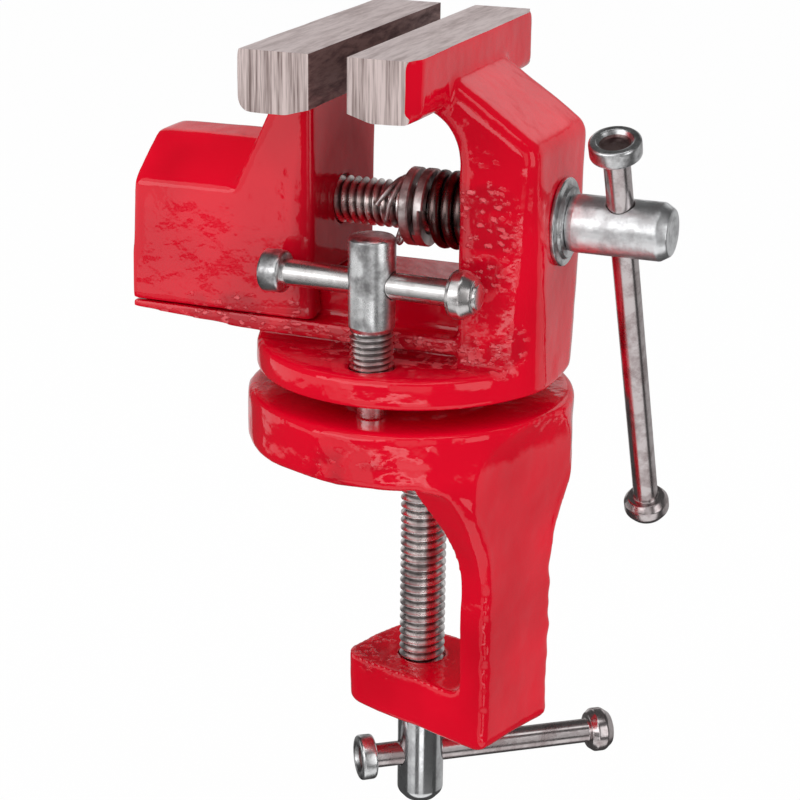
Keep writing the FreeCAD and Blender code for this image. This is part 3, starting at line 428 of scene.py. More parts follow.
def enamel(name, rough, shade_spots=(), crust=(), highlight_share=0.42, grit_deep=0.30):
    """Thick red paint over cast iron, with painted highlight and painted shade. Rough, crust and
    the spots of painted shade are spots as patches() reads them.
    """
    finish, tree, shade, place = new_finish(name)
    cloud = grain(tree, stretched(tree, place, 26, 26, 26), 2)
    colour = ramp(tree, cloud, (0.3, DEEP_RED), (0.62, BRIGHT_RED))
    broken = grain(tree, stretched(tree, place, 8, 8, 6, (7, 2, 1)), 2)
    patch = calc(tree, "MULTIPLY", patches(tree, place, rough), scaled(tree, broken, 0.40, 0.54))
    drops = droplets(tree, place)
    grit = calc(tree, "MULTIPLY", patch, drops)
    if crust:
        where = patches(tree, place, crust)
        caked = calc(tree, "MULTIPLY", where, clots(tree, place))
        patch = calc(tree, "MAXIMUM", patch, where)
        drops = calc(tree, "MAXIMUM", drops, caked)
        grit = calc(tree, "MAXIMUM", grit, caked)
    # painted shade: in the rough patches the gaps between the droplets are darkened
    shadow = calc(tree, "MULTIPLY", patch, calc(tree, "MULTIPLY_ADD", drops, -0.30, 0.30))
    shade.inputs["Coat Weight"].default_value = 1.0
    # painted shade at the given spots: dark red, and a thinner clear coat that reflects less
    if shade_spots:
        shade_mask = patches(tree, place, shade_spots)
        shadow = calc(tree, "MAXIMUM", shadow, calc(tree, "MULTIPLY", shade_mask, 0.62))
        wire(tree, calc(tree, "MULTIPLY_ADD", shade_mask, -0.55, 1.0), shade.inputs["Coat Weight"])
    # the painted shade mixed into the enamel's colour
    shaded = mixed(tree, shadow, colour, SHADE_RED)
    # painted highlight: pale pink on the crowns of the droplets and the caked grains
    pale = mixed(tree, calc(tree, "MULTIPLY", grit, highlight_share), shaded, HIGHLIGHT_PINK)
    wire(tree, pale, shade.inputs["Base Color"])
    shade.inputs["Roughness"].default_value = 0.3
    shade.inputs["Specular IOR Level"].default_value = 0.0
    shade.inputs["Coat Roughness"].default_value = 0.06
    shade.inputs["Coat IOR"].default_value = 1.5
    peel = grain(tree, stretched(tree, place, 2.6, 2.6, 2.6, (0, 4, 2)), 2, 0.45)
    fine = grain(tree, stretched(tree, place, 0.9, 0.9, 0.9), 1)
    relief = bumps(tree, shade, (peel, 0.12, 0.5), (fine, 0.03, 0.2), (grit, grit_deep, 0.9))
    wire(tree, relief, shade.inputs["Coat Normal"])
    return finish


print("enamel runs from", DEEP_RED, "to", BRIGHT_RED)

# %% Three enamels
# The share given to an enamel sets how strong the painted highlight on its droplets is.
red_body = enamel("enamel_body", [
    ((41, -17, 49), (9, 6, 19)), ((47, -18, 27), (7, 6, 7)), ((22, -18, 24.5), (30, 9, 4)),
    ((-12, -17, 26), (24, 6, 3)), ((30, -18, 27), (20, 5, 6)), ((14, 18, 40), (44, 5, 24))],
    crust=[((28, -17.5, 23.5), (26, 4, 4.5))], highlight_share=0.52)
# On the jaw, the spot round its block's front wall is painted shade.
red_jaw = enamel("enamel_jaw", [((-6, -17, 30), (22, 6, 3)), ((12, 0, 76), (6, 34, 6))],
                 shade_spots=[((5.5, 0, 45), (8, 26, 36))])
red_bracket = enamel("enamel_bracket", [
    ((20, -34, 2), (13, 6, 7)), ((-14, -14, 11), (9, 10, 3)), ((15, -4, -50), (18, 14, 4))],
    highlight_share=0.10, grit_deep=0.14)
print("enamels", red_body.name, red_jaw.name, red_bracket.name)

# %% [markdown]
# ## Bare steel
#
# The handles are turned from bright drawn bar, the screw heads are zinc plated and some of them
# hammered, and the threads hold a film of dark oil. One function makes them all from the colour,
# the gloss and how coarse the marks are. Marks run round the bar, so the grain is short along its
# axis. The oil lies only in the grooves. It could be painted face by face, but the distance from
# the screw's axis tells root from crest at once, whatever the thread's pitch.

# %% Where the screws stand
SCREW_Z = 50.5
LOCK = (20.6, -23.5)
BRACKET_X, BRACKET_TURN = 20, math.radians(18)
CLAMP = (BRACKET_X + 4 * math.cos(BRACKET_TURN), -4 * math.sin(BRACKET_TURN))
print("lead screw at height", SCREW_Z, "lock screw at", LOCK,
      "clamp screw at", [round(c, 2) for c in CLAMP])

# %% Steel
OIL = (0.055, 0.036, 0.033)
ENDLESS = 1e6  # a reach so long that it does away with the distance along an axis


def oil_in_grooves(tree, place, centre, along, root, crest):
    """One at the root of a thread and nothing on its crest. The radii are in millimetres."""
    reach = [ENDLESS if axis == along else 1 for axis in "XYZ"]
    return scaled(tree, distance(tree, place, centre, reach), root, crest, 1.0, 0.0)


def steel(name, dark, light, gloss, grain_mm, depth, hammered=0.02, axis="Z", groove=None):
    """Bare or plated metal with fine marks, and oil in its grooves if it has any."""
    finish, tree, shade, place = new_finish(name)
    short = [grain_mm if a == axis else 9 for a in "XYZ"]
    marks = grain(tree, stretched(tree, place, *short), 3, 0.6)
    cloud = grain(tree, stretched(tree, place, 5, 5, 5, (2, 5, 1)), 4, 0.62)
    colour = ramp(tree, cloud, (0.38, dark), (0.56, light))
    if groove:
        colour = mixed(tree, oil_in_grooves(tree, place, *groove), colour, OIL)
    wire(tree, colour, shade.inputs["Base Color"])
    shade.inputs["Metallic"].default_value = 1.0
    wire(tree, scaled(tree, cloud, 0.3, 0.7, gloss * 1.35, gloss * 0.8), shade.inputs["Roughness"])
    hammer = grain(tree, stretched(tree, place, 1.5, 1.5, 1.5, (1, 1, 4)), 2, 0.5)
    bumps(tree, shade, (marks, depth, 0.5), (hammer, 0.12, hammered))
    return finish


print("steel ready")

# %% Eleven steels
bright_bar = steel("drawn_steel", (0.52, 0.49, 0.485), (0.72, 0.70, 0.695), 0.24, 0.5, 0.02)
# A darker copy of the drawn steel with a pinkish brown tint, for the lead and clamp handles.
tinted_bar = steel("tinted_steel", (0.42, 0.35, 0.35), (0.64, 0.58, 0.58), 0.22, 0.5, 0.02)
plated_head = steel("zinc_plate", (0.30, 0.295, 0.30), (0.80, 0.805, 0.81), 0.29, 3.5, 0.03, 0.22)
polished_head = steel("polished_zinc", (0.62, 0.62, 0.63), (0.82, 0.83, 0.84),
                      0.15, 3.5, 0.02, 0.04)
hammered_head = steel("hammered_zinc", (0.60, 0.60, 0.61), (0.92, 0.93, 0.94),
                      0.34, 2.2, 0.04, 0.7, "X")
oiled_thread = steel("oiled_thread", (0.50, 0.42, 0.41), (0.98, 0.90, 0.88),
                     0.27, 1.2, 0.02, 0.03, groove=((0, 0, SCREW_Z), "X", 3.9, 4.6))
clamp_thread = steel("clamp_thread", (0.60, 0.56, 0.555), (0.95, 0.90, 0.89),
                     0.27, 1.2, 0.02, 0.03, groove=((*CLAMP, 0), "Z", 3.85, 4.45))
lock_thread = steel("lock_thread", (0.60, 0.56, 0.555), (0.92, 0.87, 0.86),
                    0.27, 1.2, 0.02, 0.03, groove=((*LOCK, 0), "Z", 3.65, 4.15))
spring_steel = steel("spring_steel", (0.045, 0.026, 0.024), (0.15, 0.105, 0.10),
                     0.28, 2.0, 0.02, 0.1)
washer_steel = steel("washer_steel", (0.30, 0.25, 0.245), (0.66, 0.61, 0.60),
                     0.42, 1.0, 0.05, 0.5, "X")
dark_rivet = steel("rivet_steel", (0.12, 0.06, 0.06), (0.34, 0.24, 0.23), 0.38, 1.0, 0.05, 0.4)
print("oiled threads", oiled_thread.name, clamp_thread.name, lock_thread.name)

# %% [markdown]
# ## Ground jaws
#
# The jaws are ground bare after painting. The wheel leaves long strokes, upright on the ends and
# along the jaw on the tops, and a few dark nicks where the casting was low. Noise stretched by up
# to thirty to one makes the strokes, once for the colour and once for the bump. An anisotropic
# shader alone would bend the gloss, but it would show no strokes.

# %% Ground iron


def ground_iron(name, grains, dark, light, gloss, depth):
    """Iron with grinding strokes. The grains are the stroke's size along x, y and z."""
    finish, tree, shade, place = new_finish(name)
    strokes = grain(tree, stretched(tree, place, *grains), 3, 0.65)
    wide = grain(tree, stretched(tree, place, *[g * 3 for g in grains]), 2, 0.5)
    both = calc(tree, "MULTIPLY_ADD", wide, 0.4, calc(tree, "MULTIPLY", strokes, 0.6))
    wire(tree, ramp(tree, both, (0.36, dark), (0.58, light)), shade.inputs["Base Color"])
    shade.inputs["Metallic"].default_value = 0.45
    wire(tree, scaled(tree, both, 0.3, 0.7, gloss * 1.3, gloss * 0.8), shade.inputs["Roughness"])
    bumps(tree, shade, (strokes, depth, 0.7), (wide, depth, 0.4))
    return finish


ground_end = ground_iron("ground_end", (0.45, 0.5, 14),
                         (0.20, 0.14, 0.13), (0.70, 0.58, 0.56), 0.46, 0.08)
ground_top = ground_iron("ground_top", (1.2, 9, 1.2),
                         (0.50, 0.40, 0.39), (0.80, 0.68, 0.67), 0.42, 0.05)
# The gripping faces get a much darker copy of the ground iron. It is painted shade of the narrow
# gap between the jaws, and its red tint is a painted reflection of the enamel across it.
grip_painted_shade = ground_iron("grip_painted_shade", (3, 5, 1.0),
                          (0.08, 0.03, 0.03), (0.24, 0.13, 0.12), 0.46, 0.06)
print("ground finishes", ground_end.name, ground_top.name, grip_painted_shade.name)

# %% [markdown]
# ## From points to pieces
#
# Blender builds a mesh from a list of points and a list of faces. These helpers make a piece from
# such lists, weld its seams, turn its modifiers into plain points, and join two pieces. The last
# one shades a piece smooth and marks only the edges that turn sharply, so that rounded parts
# shine and corners stay crisp. It also says which body carries the piece and which solids it
# stands for. Blender's own primitives would be quicker, but they have none of the real profiles.

# %% From lists to meshes


def welded(mesh, reach, outward=False):
    """Weld the points of a mesh that nearly touch, and turn its faces outward if asked."""
    work = bmesh.new()
    work.from_mesh(mesh)
    bmesh.ops.remove_doubles(work, verts=work.verts, dist=reach)
    if outward:
        bmesh.ops.recalc_face_normals(work, faces=work.faces)
    work.to_mesh(mesh)
    work.free()


def placed(name, mesh):
    """A mesh as a new object in the scene."""
    piece = bpy.data.objects.new(name, mesh)
    bpy.context.scene.collection.objects.link(piece)
    return piece


def piece_from(name, parts):
    """One mesh object from several (points, faces, finish number) parts."""
    points, faces, numbers = [], [], []
    for part_points, part_faces, number in parts:
        start = len(points)
        points += [tuple(p) for p in part_points]
        faces += [[start + c for c in face] for face in part_faces]
        numbers += [number] * len(part_faces)
    mesh = bpy.data.meshes.new(name)
    mesh.from_pydata(points, [], faces)
    mesh.polygons.foreach_set("material_index", numbers)
    welded(mesh, 2e-6, outward=True)
    return placed(name, mesh)


print("meshes ready")

# %% Applying, joining and laying down


def applied(piece):
    """Turn a piece's modifiers into plain points and faces."""
    bpy.context.view_layer.update()
    shaped = piece.evaluated_get(bpy.context.evaluated_depsgraph_get())
    mesh = bpy.data.meshes.new_from_object(shaped)
    piece.modifiers.clear()
    piece.data = mesh
    return piece


def joined(first, second):
    """Two pieces as one. Each part keeps its own finish number."""
    both = bmesh.new()
    both.from_mesh(first.data)
    both.from_mesh(second.data)
    both.to_mesh(first.data)
    both.free()
    bpy.data.objects.remove(second)
    return first


def lying(origin, direction):
    """A matrix that lays a local z axis along a direction, from millimetres to metres."""
    turn = Vector(direction).to_track_quat("Z", "Y").to_matrix().to_4x4()
    return Matrix.Translation(Vector(origin) * MM) @ turn @ Matrix.Diagonal((MM, MM, MM, 1))


print("joining ready")

# %% Settling a piece on its body


def settle(piece, body, finishes, solids, corner=38):
    """Finish, shade and hang a piece on its body."""
    for finish in finishes:
        piece.data.materials.append(finish)
    piece.data.shade_smooth()
    piece.data.set_sharp_from_angle(angle=math.radians(corner))
    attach(piece, body)
    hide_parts(*solids)
    print(piece.name, len(piece.data.vertices), "points")
    return piece


print("ready to settle pieces")

# %% [markdown]
# ## Turning on the lathe
#
# A turned piece is a profile swept round an axis. Each corner of the profile may carry a
# rounding, which becomes a short arc, because no real edge is perfectly sharp and the arc is what
# catches the light. The Screw modifier can sweep a profile too. Doing it in code keeps the
# millimetres readable.

# %% Soft profile


def soft_profile(corners, steps=5):
    """Points of a profile whose corners (along, radius, rounding) are rounded off."""
    line = []
    for place, corner in enumerate(corners):
        here = Vector(corner[:2])
        if len(corner) < 3 or place in (0, len(corners) - 1):
            line.append(here)
            continue
        before = Vector(corners[place - 1][:2]) - here
        after = Vector(corners[place + 1][:2]) - here
        half = before.angle(after) / 2
        reach = min(corner[2] / math.tan(half), 0.49 * before.length, 0.49 * after.length)
        entry, leaving = here + before.normalized() * reach, here + after.normalized() * reach
        for step in range(steps + 1):
            t = step / steps
            line.append(entry * (1 - t) ** 2 + here * 2 * t * (1 - t) + leaving * t ** 2)
    return line


print("a rounded corner has", len(soft_profile([(0, 0), (0, 1, 0.2), (1, 1)])) - 2, "points")

# %% Lathe


def circle(around, radius=1.0):
    """Points evenly round a circle, as (x, y)."""
    angles = [2 * math.pi * step / around for step in range(around)]
    return [(radius * math.cos(angle), radius * math.sin(angle)) for angle in angles]


def ring_faces(rings, around):
    """Four-sided faces between closed rings of points that follow each other."""
    faces = []
    for ring in range(rings - 1):
        for step in range(around):
            a, b = ring * around + step, ring * around + (step + 1) % around
            faces.append([a, b, b + around, a + around])
    return faces


def turned(corners, where, number=0, around=72):
    """A turned solid as a part: points, faces and the finish number."""
    line = soft_profile(corners)
    points = []
    for along, radius in line:
        points += [where @ Vector((c, s, along)) for c, s in circle(around, max(radius, 0))]
    return points, ring_faces(len(line), around), number


print("lathe ready")

# %% [markdown]
# ## Cutting a thread
#
# A thread is a ridge that climbs by one pitch in each turn. The rows of this mesh climb with it,
# so the crest lies exactly on a row and stays sharp, where a stack of level rings would show
# steps. The rows are cut off flat at both ends, and the ridge fades in over the first turn as a
# die leaves it.

# %% Thread
# one pitch of the ridge: how far along it, and how deep under the crest
THREAD_FORM = ((0.0, 0), (0.10, 0), (0.30, 0.55), (0.47, 1), (0.60, 1), (0.80, 0.5))
# crest radius, depth and pitch
COARSE = (4.98, 0.98, 1.75)
FINER = (4.48, 0.72, 1.25)


def thread(low, high, size, where, point, fade, around=60):
    """A threaded rod as a part, from low to high along its axis, with the second finish."""
    crest, depth, pitch = size
    root = crest - depth
    rows = [(low + (turn + share) * pitch, crest - depth * sunk)
            for turn in range(-1, int((high - low) / pitch) + 3) for share, sunk in THREAD_FORM]
    points, faces = [], []
    for along, radius in rows:
        for step, (c, s) in enumerate(circle(around)):
            here = min(max(along + pitch * step / around, low), high)
            limit = root + min((here - low) / point, (high - here) / fade, 1.0) * depth
            reach = min(radius, limit)
            points.append(where @ Vector((reach * c, reach * s, here)))
    for row in range(len(rows) - 1):
        for step in range(around):
            a = row * around + step
            # after a full turn the row goes on as the same row of the next turn
            b = a + 1 if step < around - 1 else (row + len(THREAD_FORM)) * around
            if b + around < len(points):
                faces.append([a, b, b + around, a + around])
    for along in (low, high):
        faces.append([len(points) + step for step in range(around)])
        points += [where @ Vector((c, s, along)) for c, s in circle(around, root)]
    return points, faces, 1


print("thread ready")

# %% [markdown]
# ## Drilling
#
# Each screw head has a cross hole for its handle. A Boolean modifier cuts it with a turned drill
# whose ends flare, which leaves the small countersink that keeps the bar from binding. Pushing
# vertices by hand could not give a clean saddle edge on a round head.

# %% Drill
HOLE_RADIUS, COUNTERSINK, SPARE = 2.85, 0.25, 3


def drill(piece, where, half):
    """Cut a countersunk cross hole whose half length reaches just out of the head."""
    flare = HOLE_RADIUS + COUNTERSINK + SPARE
    cutter = piece_from(piece.name + "_drill", [turned([
        (-half - SPARE, 0), (-half - SPARE, flare), (-half + COUNTERSINK, HOLE_RADIUS),
        (half - COUNTERSINK, HOLE_RADIUS), (half + SPARE, flare), (half + SPARE, 0)], where)])
    cut = piece.modifiers.new("hole", "BOOLEAN")
    cut.operation = "DIFFERENCE"
    cut.solver = "EXACT"
    cut.object = cutter
    applied(piece)
    bpy.data.objects.remove(cutter)
    return piece


print("drill ready")

# %% [markdown]
# ## Handle bars
#
# Every handle is a bar with a knob upset on one end and a cap riveted over the other, so that it
# can slide but not fall out. The knob swells like a short barrel and ends in a low dome. The cap
# is a thick disc with a worn rounded rim, and its dished face shows the riveted end of the bar
# inside. Each is turned on the lathe in one go: a sphere for a knob would miss its shoulder and
# its flat.

# %% Bars, knobs and caps
BAR_RADIUS, RIVET_RADIUS = 2.7, 1.85
# how far back from the bar's end, radius, rounding
BARREL_KNOB = ((6.0, 2.7, 0.3), (5.9, 4.0, 0.5), (4.6, 4.95, 1.0), (2.4, 4.95, 1.4),
               (0.7, 3.7, 1.0), (0, 1.8, 1.4), (0, 0))
FLANGED_KNOB = ((6.0, 2.7, 0.3), (5.9, 4.4, 0.5), (5.0, 4.95, 0.7), (2.9, 4.9, 1.2),
                (0.9, 3.5, 1.3), (0.8, 2.75, 0.2), (0.1, 2.7, 0.3), (0, 0))


def handle(name, where, near, far, cap_radius, cap_long, body, finish, knob=BARREL_KNOB):
    """A handle along local z: a bar with its knob at the far end, and its cap at the near end."""
    rod = [(1.2 - near, 0), (1.2 - near, RIVET_RADIUS, 0.3), (cap_long - near, RIVET_RADIUS),
           (cap_long - near, BAR_RADIUS)]
    rod += [(far - back, *rest) for back, *rest in knob]
    settle(piece_from(name, [turned(rod, where)]), body, [finish], [name])

    rim = [(cap_long, 1.9), (cap_long, cap_radius - 0.1, 0.8), (0.1, cap_radius - 0.05, 1.3),
           (0, cap_radius - 1.6, 0.7), (0.9, cap_radius - 2.2, 0.5)]
    dish = [(0.9, cap_radius - 2.2), (1.3, cap_radius - 2.8, 0.4), (1.05, 1.5, 0.5), (0.8, 0)]
    cap = [turned([(along - near, *rest) for along, *rest in line], where, number)
           for number, line in enumerate((rim, dish))]
    settle(piece_from(name + "_cap", cap), body, [plated_head, dark_rivet], [name + "_cap"])


print("knobs have", len(BARREL_KNOB), "and", len(FLANGED_KNOB), "corners")

# %% Three handles


def slanted(degrees):
    """The cosine and sine of an angle."""
    return math.cos(math.radians(degrees)), math.sin(math.radians(degrees))


down, aside = slanted(22.4)
lead_where = lying((65, 0, SCREW_Z), (0, aside, -down))
handle("lead_bar", lead_where, 21.1, 78.7, 5.35, 3.8, "lead_handle", tinted_bar)
across, aside = slanted(2)
lock_where = lying((*LOCK, 40), (across, -aside, 0))
handle("lock_bar", lock_where, 24.0, 23.3, 4.45, 4.8, "lock_handle", bright_bar, FLANGED_KNOB)
clamp_where = lying((*CLAMP, -74.3), (*slanted(37.6), 0))
handle("clamp_bar", clamp_where, 14.5, 45.5, 5.1, 3.6, "clamp_handle", tinted_bar)

# %% [markdown]
# ## The lead screw
#
# The screw that drives the jaw has a thread of 1.75 mm pitch along its whole length and a plated
# head with a hammered skin. The head ends in a broad soft bevel round a slightly dished face.
# Thread and head are separate parts of one mesh, so each can have its own finish. Only the head
# is drilled, before they are joined, because a Boolean over the whole thread would be slow and
# could fail.

# %% Lead screw
along_screw = lying((0, 0, SCREW_Z), (1, 0, 0))
lead = piece_from("lead_screw", [turned([
    (54.5, 0), (54.5, 5.7, 0.4), (56.0, 5.95, 0.4), (73.4, 5.95, 1.2), (75.5, 4.7, 0.9),
    (75.45, 3.4, 0.8), (75.0, 2.4, 0.5), (74.9, 0)], along_screw)])
drill(lead, lead_where, 5.9)
joined(lead, piece_from("lead_rod", [thread(-37, 55, COARSE, along_screw, 1.4, 0.1)]))
settle(lead, "lead_screw", [hammered_head, oiled_thread], ["lead_screw"])

# %% [markdown]
# ## Spring and washers
#
# Behind the upright a stiff dark spring keeps the screw from rattling. Its wire is a tube swept
# along a helix. In front of it sit two split washers of square wire, wound tight like two more
# coils. A plated collar bears on the outside. A bevelled curve could draw the wires as well, but
# the section would twist on its way, and the square wire of the washers has to stay square to the
# screw.

# %% Wires along a path


def tube_faces(rings, around):
    """The faces of a tube with both ends closed."""
    last = rings * around - 1
    ends = [list(range(around)), [last - step for step in range(around)]]
    return ring_faces(rings, around) + ends


def heading(path, place):
    """The direction of a path at one of its points."""
    return (path[min(place + 1, len(path) - 1)] - path[max(place - 1, 0)]).normalized()


def swept(path, section, where):
    """A closed section carried along a path without twisting round the local z axis."""
    points = []
    for place, here in enumerate(path):
        forward = heading(path, place)
        outward = Vector((here.x, here.y, 0)).normalized()
        side = forward.cross(outward).normalized()
        outward = side.cross(forward)
        points += [where @ (here + outward * a + side * b) for a, b in section]
    return points, tube_faces(len(path), len(section)), 0


def coil(low, high, radius, turns, start, per_turn=64):
    """The points of a helix about local z."""
    steps = int(turns * per_turn)
    return [Vector((radius * math.cos(start + 2 * math.pi * s / per_turn),
                    radius * math.sin(start + 2 * math.pi * s / per_turn),
                    low + (high - low) * s / steps))
            for s in range(steps + 1)]


def flat_wire(wide, thick, edge):
    """The section of a rectangular wire with broken corners."""
    w, t = wide / 2, thick / 2
    return [(w, edge - t), (w, t - edge), (w - edge, t), (edge - w, t), (-w, t - edge),
            (-w, edge - t), (edge - w, -t), (w - edge, -t)]


print("wires ready")

# %% Spring, washers and collar
spring = swept(coil(26.4, 34.6, 6.85, 3.0, 1.2), circle(16, 1.28), along_screw)
settle(piece_from("lead_spring", [spring]), "lead_screw", [spring_steel], ["lead_spring"],
       50)
for name, low, wide in (("spring_washer", 22.15, 2.5), ("pin_washer", 19.3, 2.7)):
    turns = coil(low + 0.72, low + 2.13, 8.15 - wide / 2, 1.9, 0.4 + low)
    settle(piece_from(name, [swept(turns, flat_wire(wide, 1.38, 0.3), along_screw)]),
           "lead_screw", [washer_steel], [name], 30)

collar = turned([(52.5, 5.05), (52.5, 9.0, 0.3), (53.5, 9.05, 0.4), (53.7, 7.6, 0.3),
                 (54.4, 7.2, 0.4), (54.5, 5.05), (52.5, 5.05)], along_screw)
settle(piece_from("thrust_collar", [collar]), "lead_screw", [plated_head], ["thrust_collar"])

# %% [markdown]
# ## The split pin
#
# A thin split pin through the screw holds the washers and the spring. Its legs are bent back over
# the thread, and its eye stands out below. Each wire goes through a few points about the screw's
# axis, joined by a smooth line that passes through all of them. A Bezier curve would need two
# more handles at each point to do that.

# %% Smooth wires


def smooth_line(points, samples=10):
    """A smooth line that passes through all the points."""
    line = []
    padded = [points[0]] + points + [points[-1]]
    for place in range(len(points) - 1):
        p0, p1, p2, p3 = padded[place:place + 4]
        for step in range(samples):
            t = step / samples
            line.append(0.5 * (2 * p1 + (p2 - p0) * t + (2 * p0 - 5 * p1 + 4 * p2 - p3) * t * t
                               + (3 * p1 - p0 - 3 * p2 + p3) * t ** 3))
    return line + [points[-1]]


def bent_wire(path, radius, sides=12):
    """A round wire along any path, as a part."""
    points = []
    guide = Vector((0.31, 0.42, 0.85))
    for place, here in enumerate(path):
        forward = heading(path, place)
        side = forward.cross(guide).normalized()
        guide = side.cross(forward)
        points += [(here + side * radius * c + guide * radius * s) * MM
                   for c, s in circle(sides)]
    return points, tube_faces(len(path), sides), 0


print("smooth wires ready")

# %% Split pin
PIN_X, PIN_WIRE = 18.3, 0.5
# each wire as (angle, radius, distance from PIN_X): zero degrees is the near side, and 90 the top
PIN_LINES = (
    ((-68, 6.4, 0.4), (-68, 4.0, 0), (112, 4.6, 0), (104, 5.7, -0.1), (75, 5.75, -0.9),
     (40, 5.65, -2.4), (8, 5.6, -4.3)),
    ((-68, 6.4, -0.5), (-70, 4.0, -0.3), (112, 4.6, -0.3), (100, 5.8, -0.5), (66, 5.8, -0.2),
     (20, 5.7, -1.2), (-22, 5.6, -2.2)),
    ((-68, 6.2, 0.4), (-60, 7.2, 0.9), (-66, 8.1, 0), (-74, 7.2, -0.9), (-68, 6.2, -0.5)),
)


def about_screw(angle, radius, along):
    """A point round the screw's axis, in millimetres."""
    turn = math.radians(angle)
    return Vector((PIN_X + along, -radius * math.cos(turn), SCREW_Z + radius * math.sin(turn)))


wires = [bent_wire(smooth_line([about_screw(*spot) for spot in line]), PIN_WIRE)
         for line in PIN_LINES]
settle(piece_from("cotter_pin", wires), "lead_screw", [washer_steel], ["cotter_pin"], 60)

# %% [markdown]
# ## The lock screw and the clamp screw
#
# The lock screw goes through the upper disc and bears on the lower one. Its plated head was
# brushed lengthwise and its top is a low dome. The clamp screw below is polished, with a generous
# rounding at its lower end and a coarse thread that runs up to the pad. Both are made as the lead
# screw is, with the same lathe, drill and thread, so that all the screws look like one maker's
# work.

# %% Lock screw
up_lock = lying((*LOCK, 0), (0, 0, 1))
lock = piece_from("lock_screw", [turned([
    (30.2, 0), (30.2, 4.2, 0.3), (31.2, 4.72, 0.8), (40, 4.85, 2), (49.2, 4.85, 0.7),
    (49.7, 4.3, 0.5), (50.0, 2.2, 1.0), (50.0, 0)], up_lock)])
drill(lock, lock_where, 4.8)
joined(lock, piece_from("lock_rod", [
    thread(16.2, 30.4, FINER, up_lock, 0.6, 0.5),
    turned([(12.02, 0), (12.02, 3.1, 0.4), (16.4, 3.2), (16.4, 0)], up_lock)]))
settle(lock, "lock_screw", [plated_head, lock_thread], ["lock_screw"])

# %% Clamp screw
up_clamp = lying((*CLAMP, 0), (0, 0, 1))
clamp = piece_from("clamp_screw", [turned([
    (-64, 0), (-64, 4.9, 0.3), (-65, 5.15, 0.4), (-83.4, 5.15, 2.2), (-85.5, 3.3, 1.4),
    (-85.5, 0)], up_clamp)])
drill(clamp, clamp_where, 5.1)
joined(clamp, piece_from("clamp_rod", [
    thread(-64.2, -9.0, COARSE, up_clamp, 0.4, 1.0),
    turned([(-9.5, 0), (-9.5, 3.4), (-6.1, 3.4, 0.5), (-6.1, 0)], up_clamp, 1)]))
settle(clamp, "clamp_screw", [polished_head, clamp_thread], ["clamp_screw"])

# %% Clamp pad
pad = piece_from("clamp_pad", [turned([
    (-3.0, 0), (-3.0, 7.3, 0.5), (-5.8, 7.4, 0.5), (-6.4, 6.2, 0.6), (-9.0, 5.8, 0.5),
    (-9.0, 3.6, 0.2), (-6.0, 3.6), (-6.0, 0)], up_clamp)])
settle(pad, "clamp_pad", [plated_head], ["clamp_pad"])

# %% [markdown]
# ## Castings
#
# Sand casting rounds every inside corner and leaves slow lumps, and enamel rounds it further. To
# get that skin the solid is copied, filled with small cubes by a voxel remesh, and smoothed a few
# times, which melts its faces into each other. Then every point moves a little along its normal
# by noise. Modelling the same fillets by hand with bevels would take days and would still look
# too regular.

# %% Melting


def smoothed(piece, passes, group=""):
    """Smooth a piece, all of it or a named group of its points, and apply what it carries."""
    melt = piece.modifiers.new("melt", "SMOOTH")
    melt.factor = 0.5
    melt.iterations = passes
    melt.vertex_group = group
    return applied(piece)


def melted(name, voxel, passes, stretch=None, row=None):
    """A soft copy of a solid. It can get a row of points at one x and then be stretched first."""
    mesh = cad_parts[name].data.copy()
    if row:
        knife = bmesh.new()
        knife.from_mesh(mesh)
        bmesh.ops.bisect_plane(knife, geom=[*knife.verts, *knife.edges, *knife.faces],
                               plane_co=(row * MM, 0, 0), plane_no=(1, 0, 0), dist=1e-6)
        knife.to_mesh(mesh)
        knife.free()
    if stretch:
        points = np.empty(len(mesh.vertices) * 3, np.float32)
        mesh.vertices.foreach_get("co", points)
        points = points.reshape(-1, 3)
        stretch(points)
        mesh.vertices.foreach_set("co", points.ravel())
    welded(mesh, 1e-6)
    piece = placed(name, mesh)
    cubes = piece.modifiers.new("cubes", "REMESH")
    cubes.mode = "VOXEL"
    cubes.voxel_size = voxel * MM
    smoothed(piece, passes)
    piece.data.materials.clear()
    return piece


def softened(piece, share, passes):
    """Smooth a piece further, by the share that is given for each place in millimetres."""
    group = piece.vertex_groups.new(name="soft")
    for vertex in piece.data.vertices:
        amount = min(max(share(vertex.co * 1000), 0.0), 1.0)
        if amount:
            group.add([vertex.index], amount, "REPLACE")
    smoothed(piece, passes, "soft")
    piece.vertex_groups.clear()
    return piece


print("melting ready")

# %% Lumps


def pushed(piece, height):
    """Move every point along its normal, by the millimetres that are given for its place."""
    mesh = piece.data
    normals = [v.normal.copy() for v in mesh.vertices]
    for vertex, normal in zip(mesh.vertices, normals):
        vertex.co += normal * height(vertex.co) * MM
    mesh.update()
    return piece


def lumps(piece, sizes, calm):
    """Casting noise of several sizes (grain mm, height mm), less where it is told to be calm."""
    return pushed(piece, lambda here: calm(here * 1000) * sum(
        tall * noise.noise(here * (1000 / wide)) for wide, tall in sizes))


print("lumps ready")

# %% [markdown]
# ## Grinding
#
# The jaws are cast oversize and ground to size after painting. Here too: flat cuts take the ends,
# the top and the gripping face off a jaw, and each cut is closed by a flat face with its own
# finish. That gives crisp bare faces with a paint edge around them. Boolean boxes could cut the
# same flats. Cutting by planes, and only the faces above one height, needs no boxes and keeps the
# wheel off the bed.

# %% Grinding
JAW_END, JAW_TOP = 34.95, 87.05
JAW_ABOVE = 73.5  # the jaw is what stands above this height


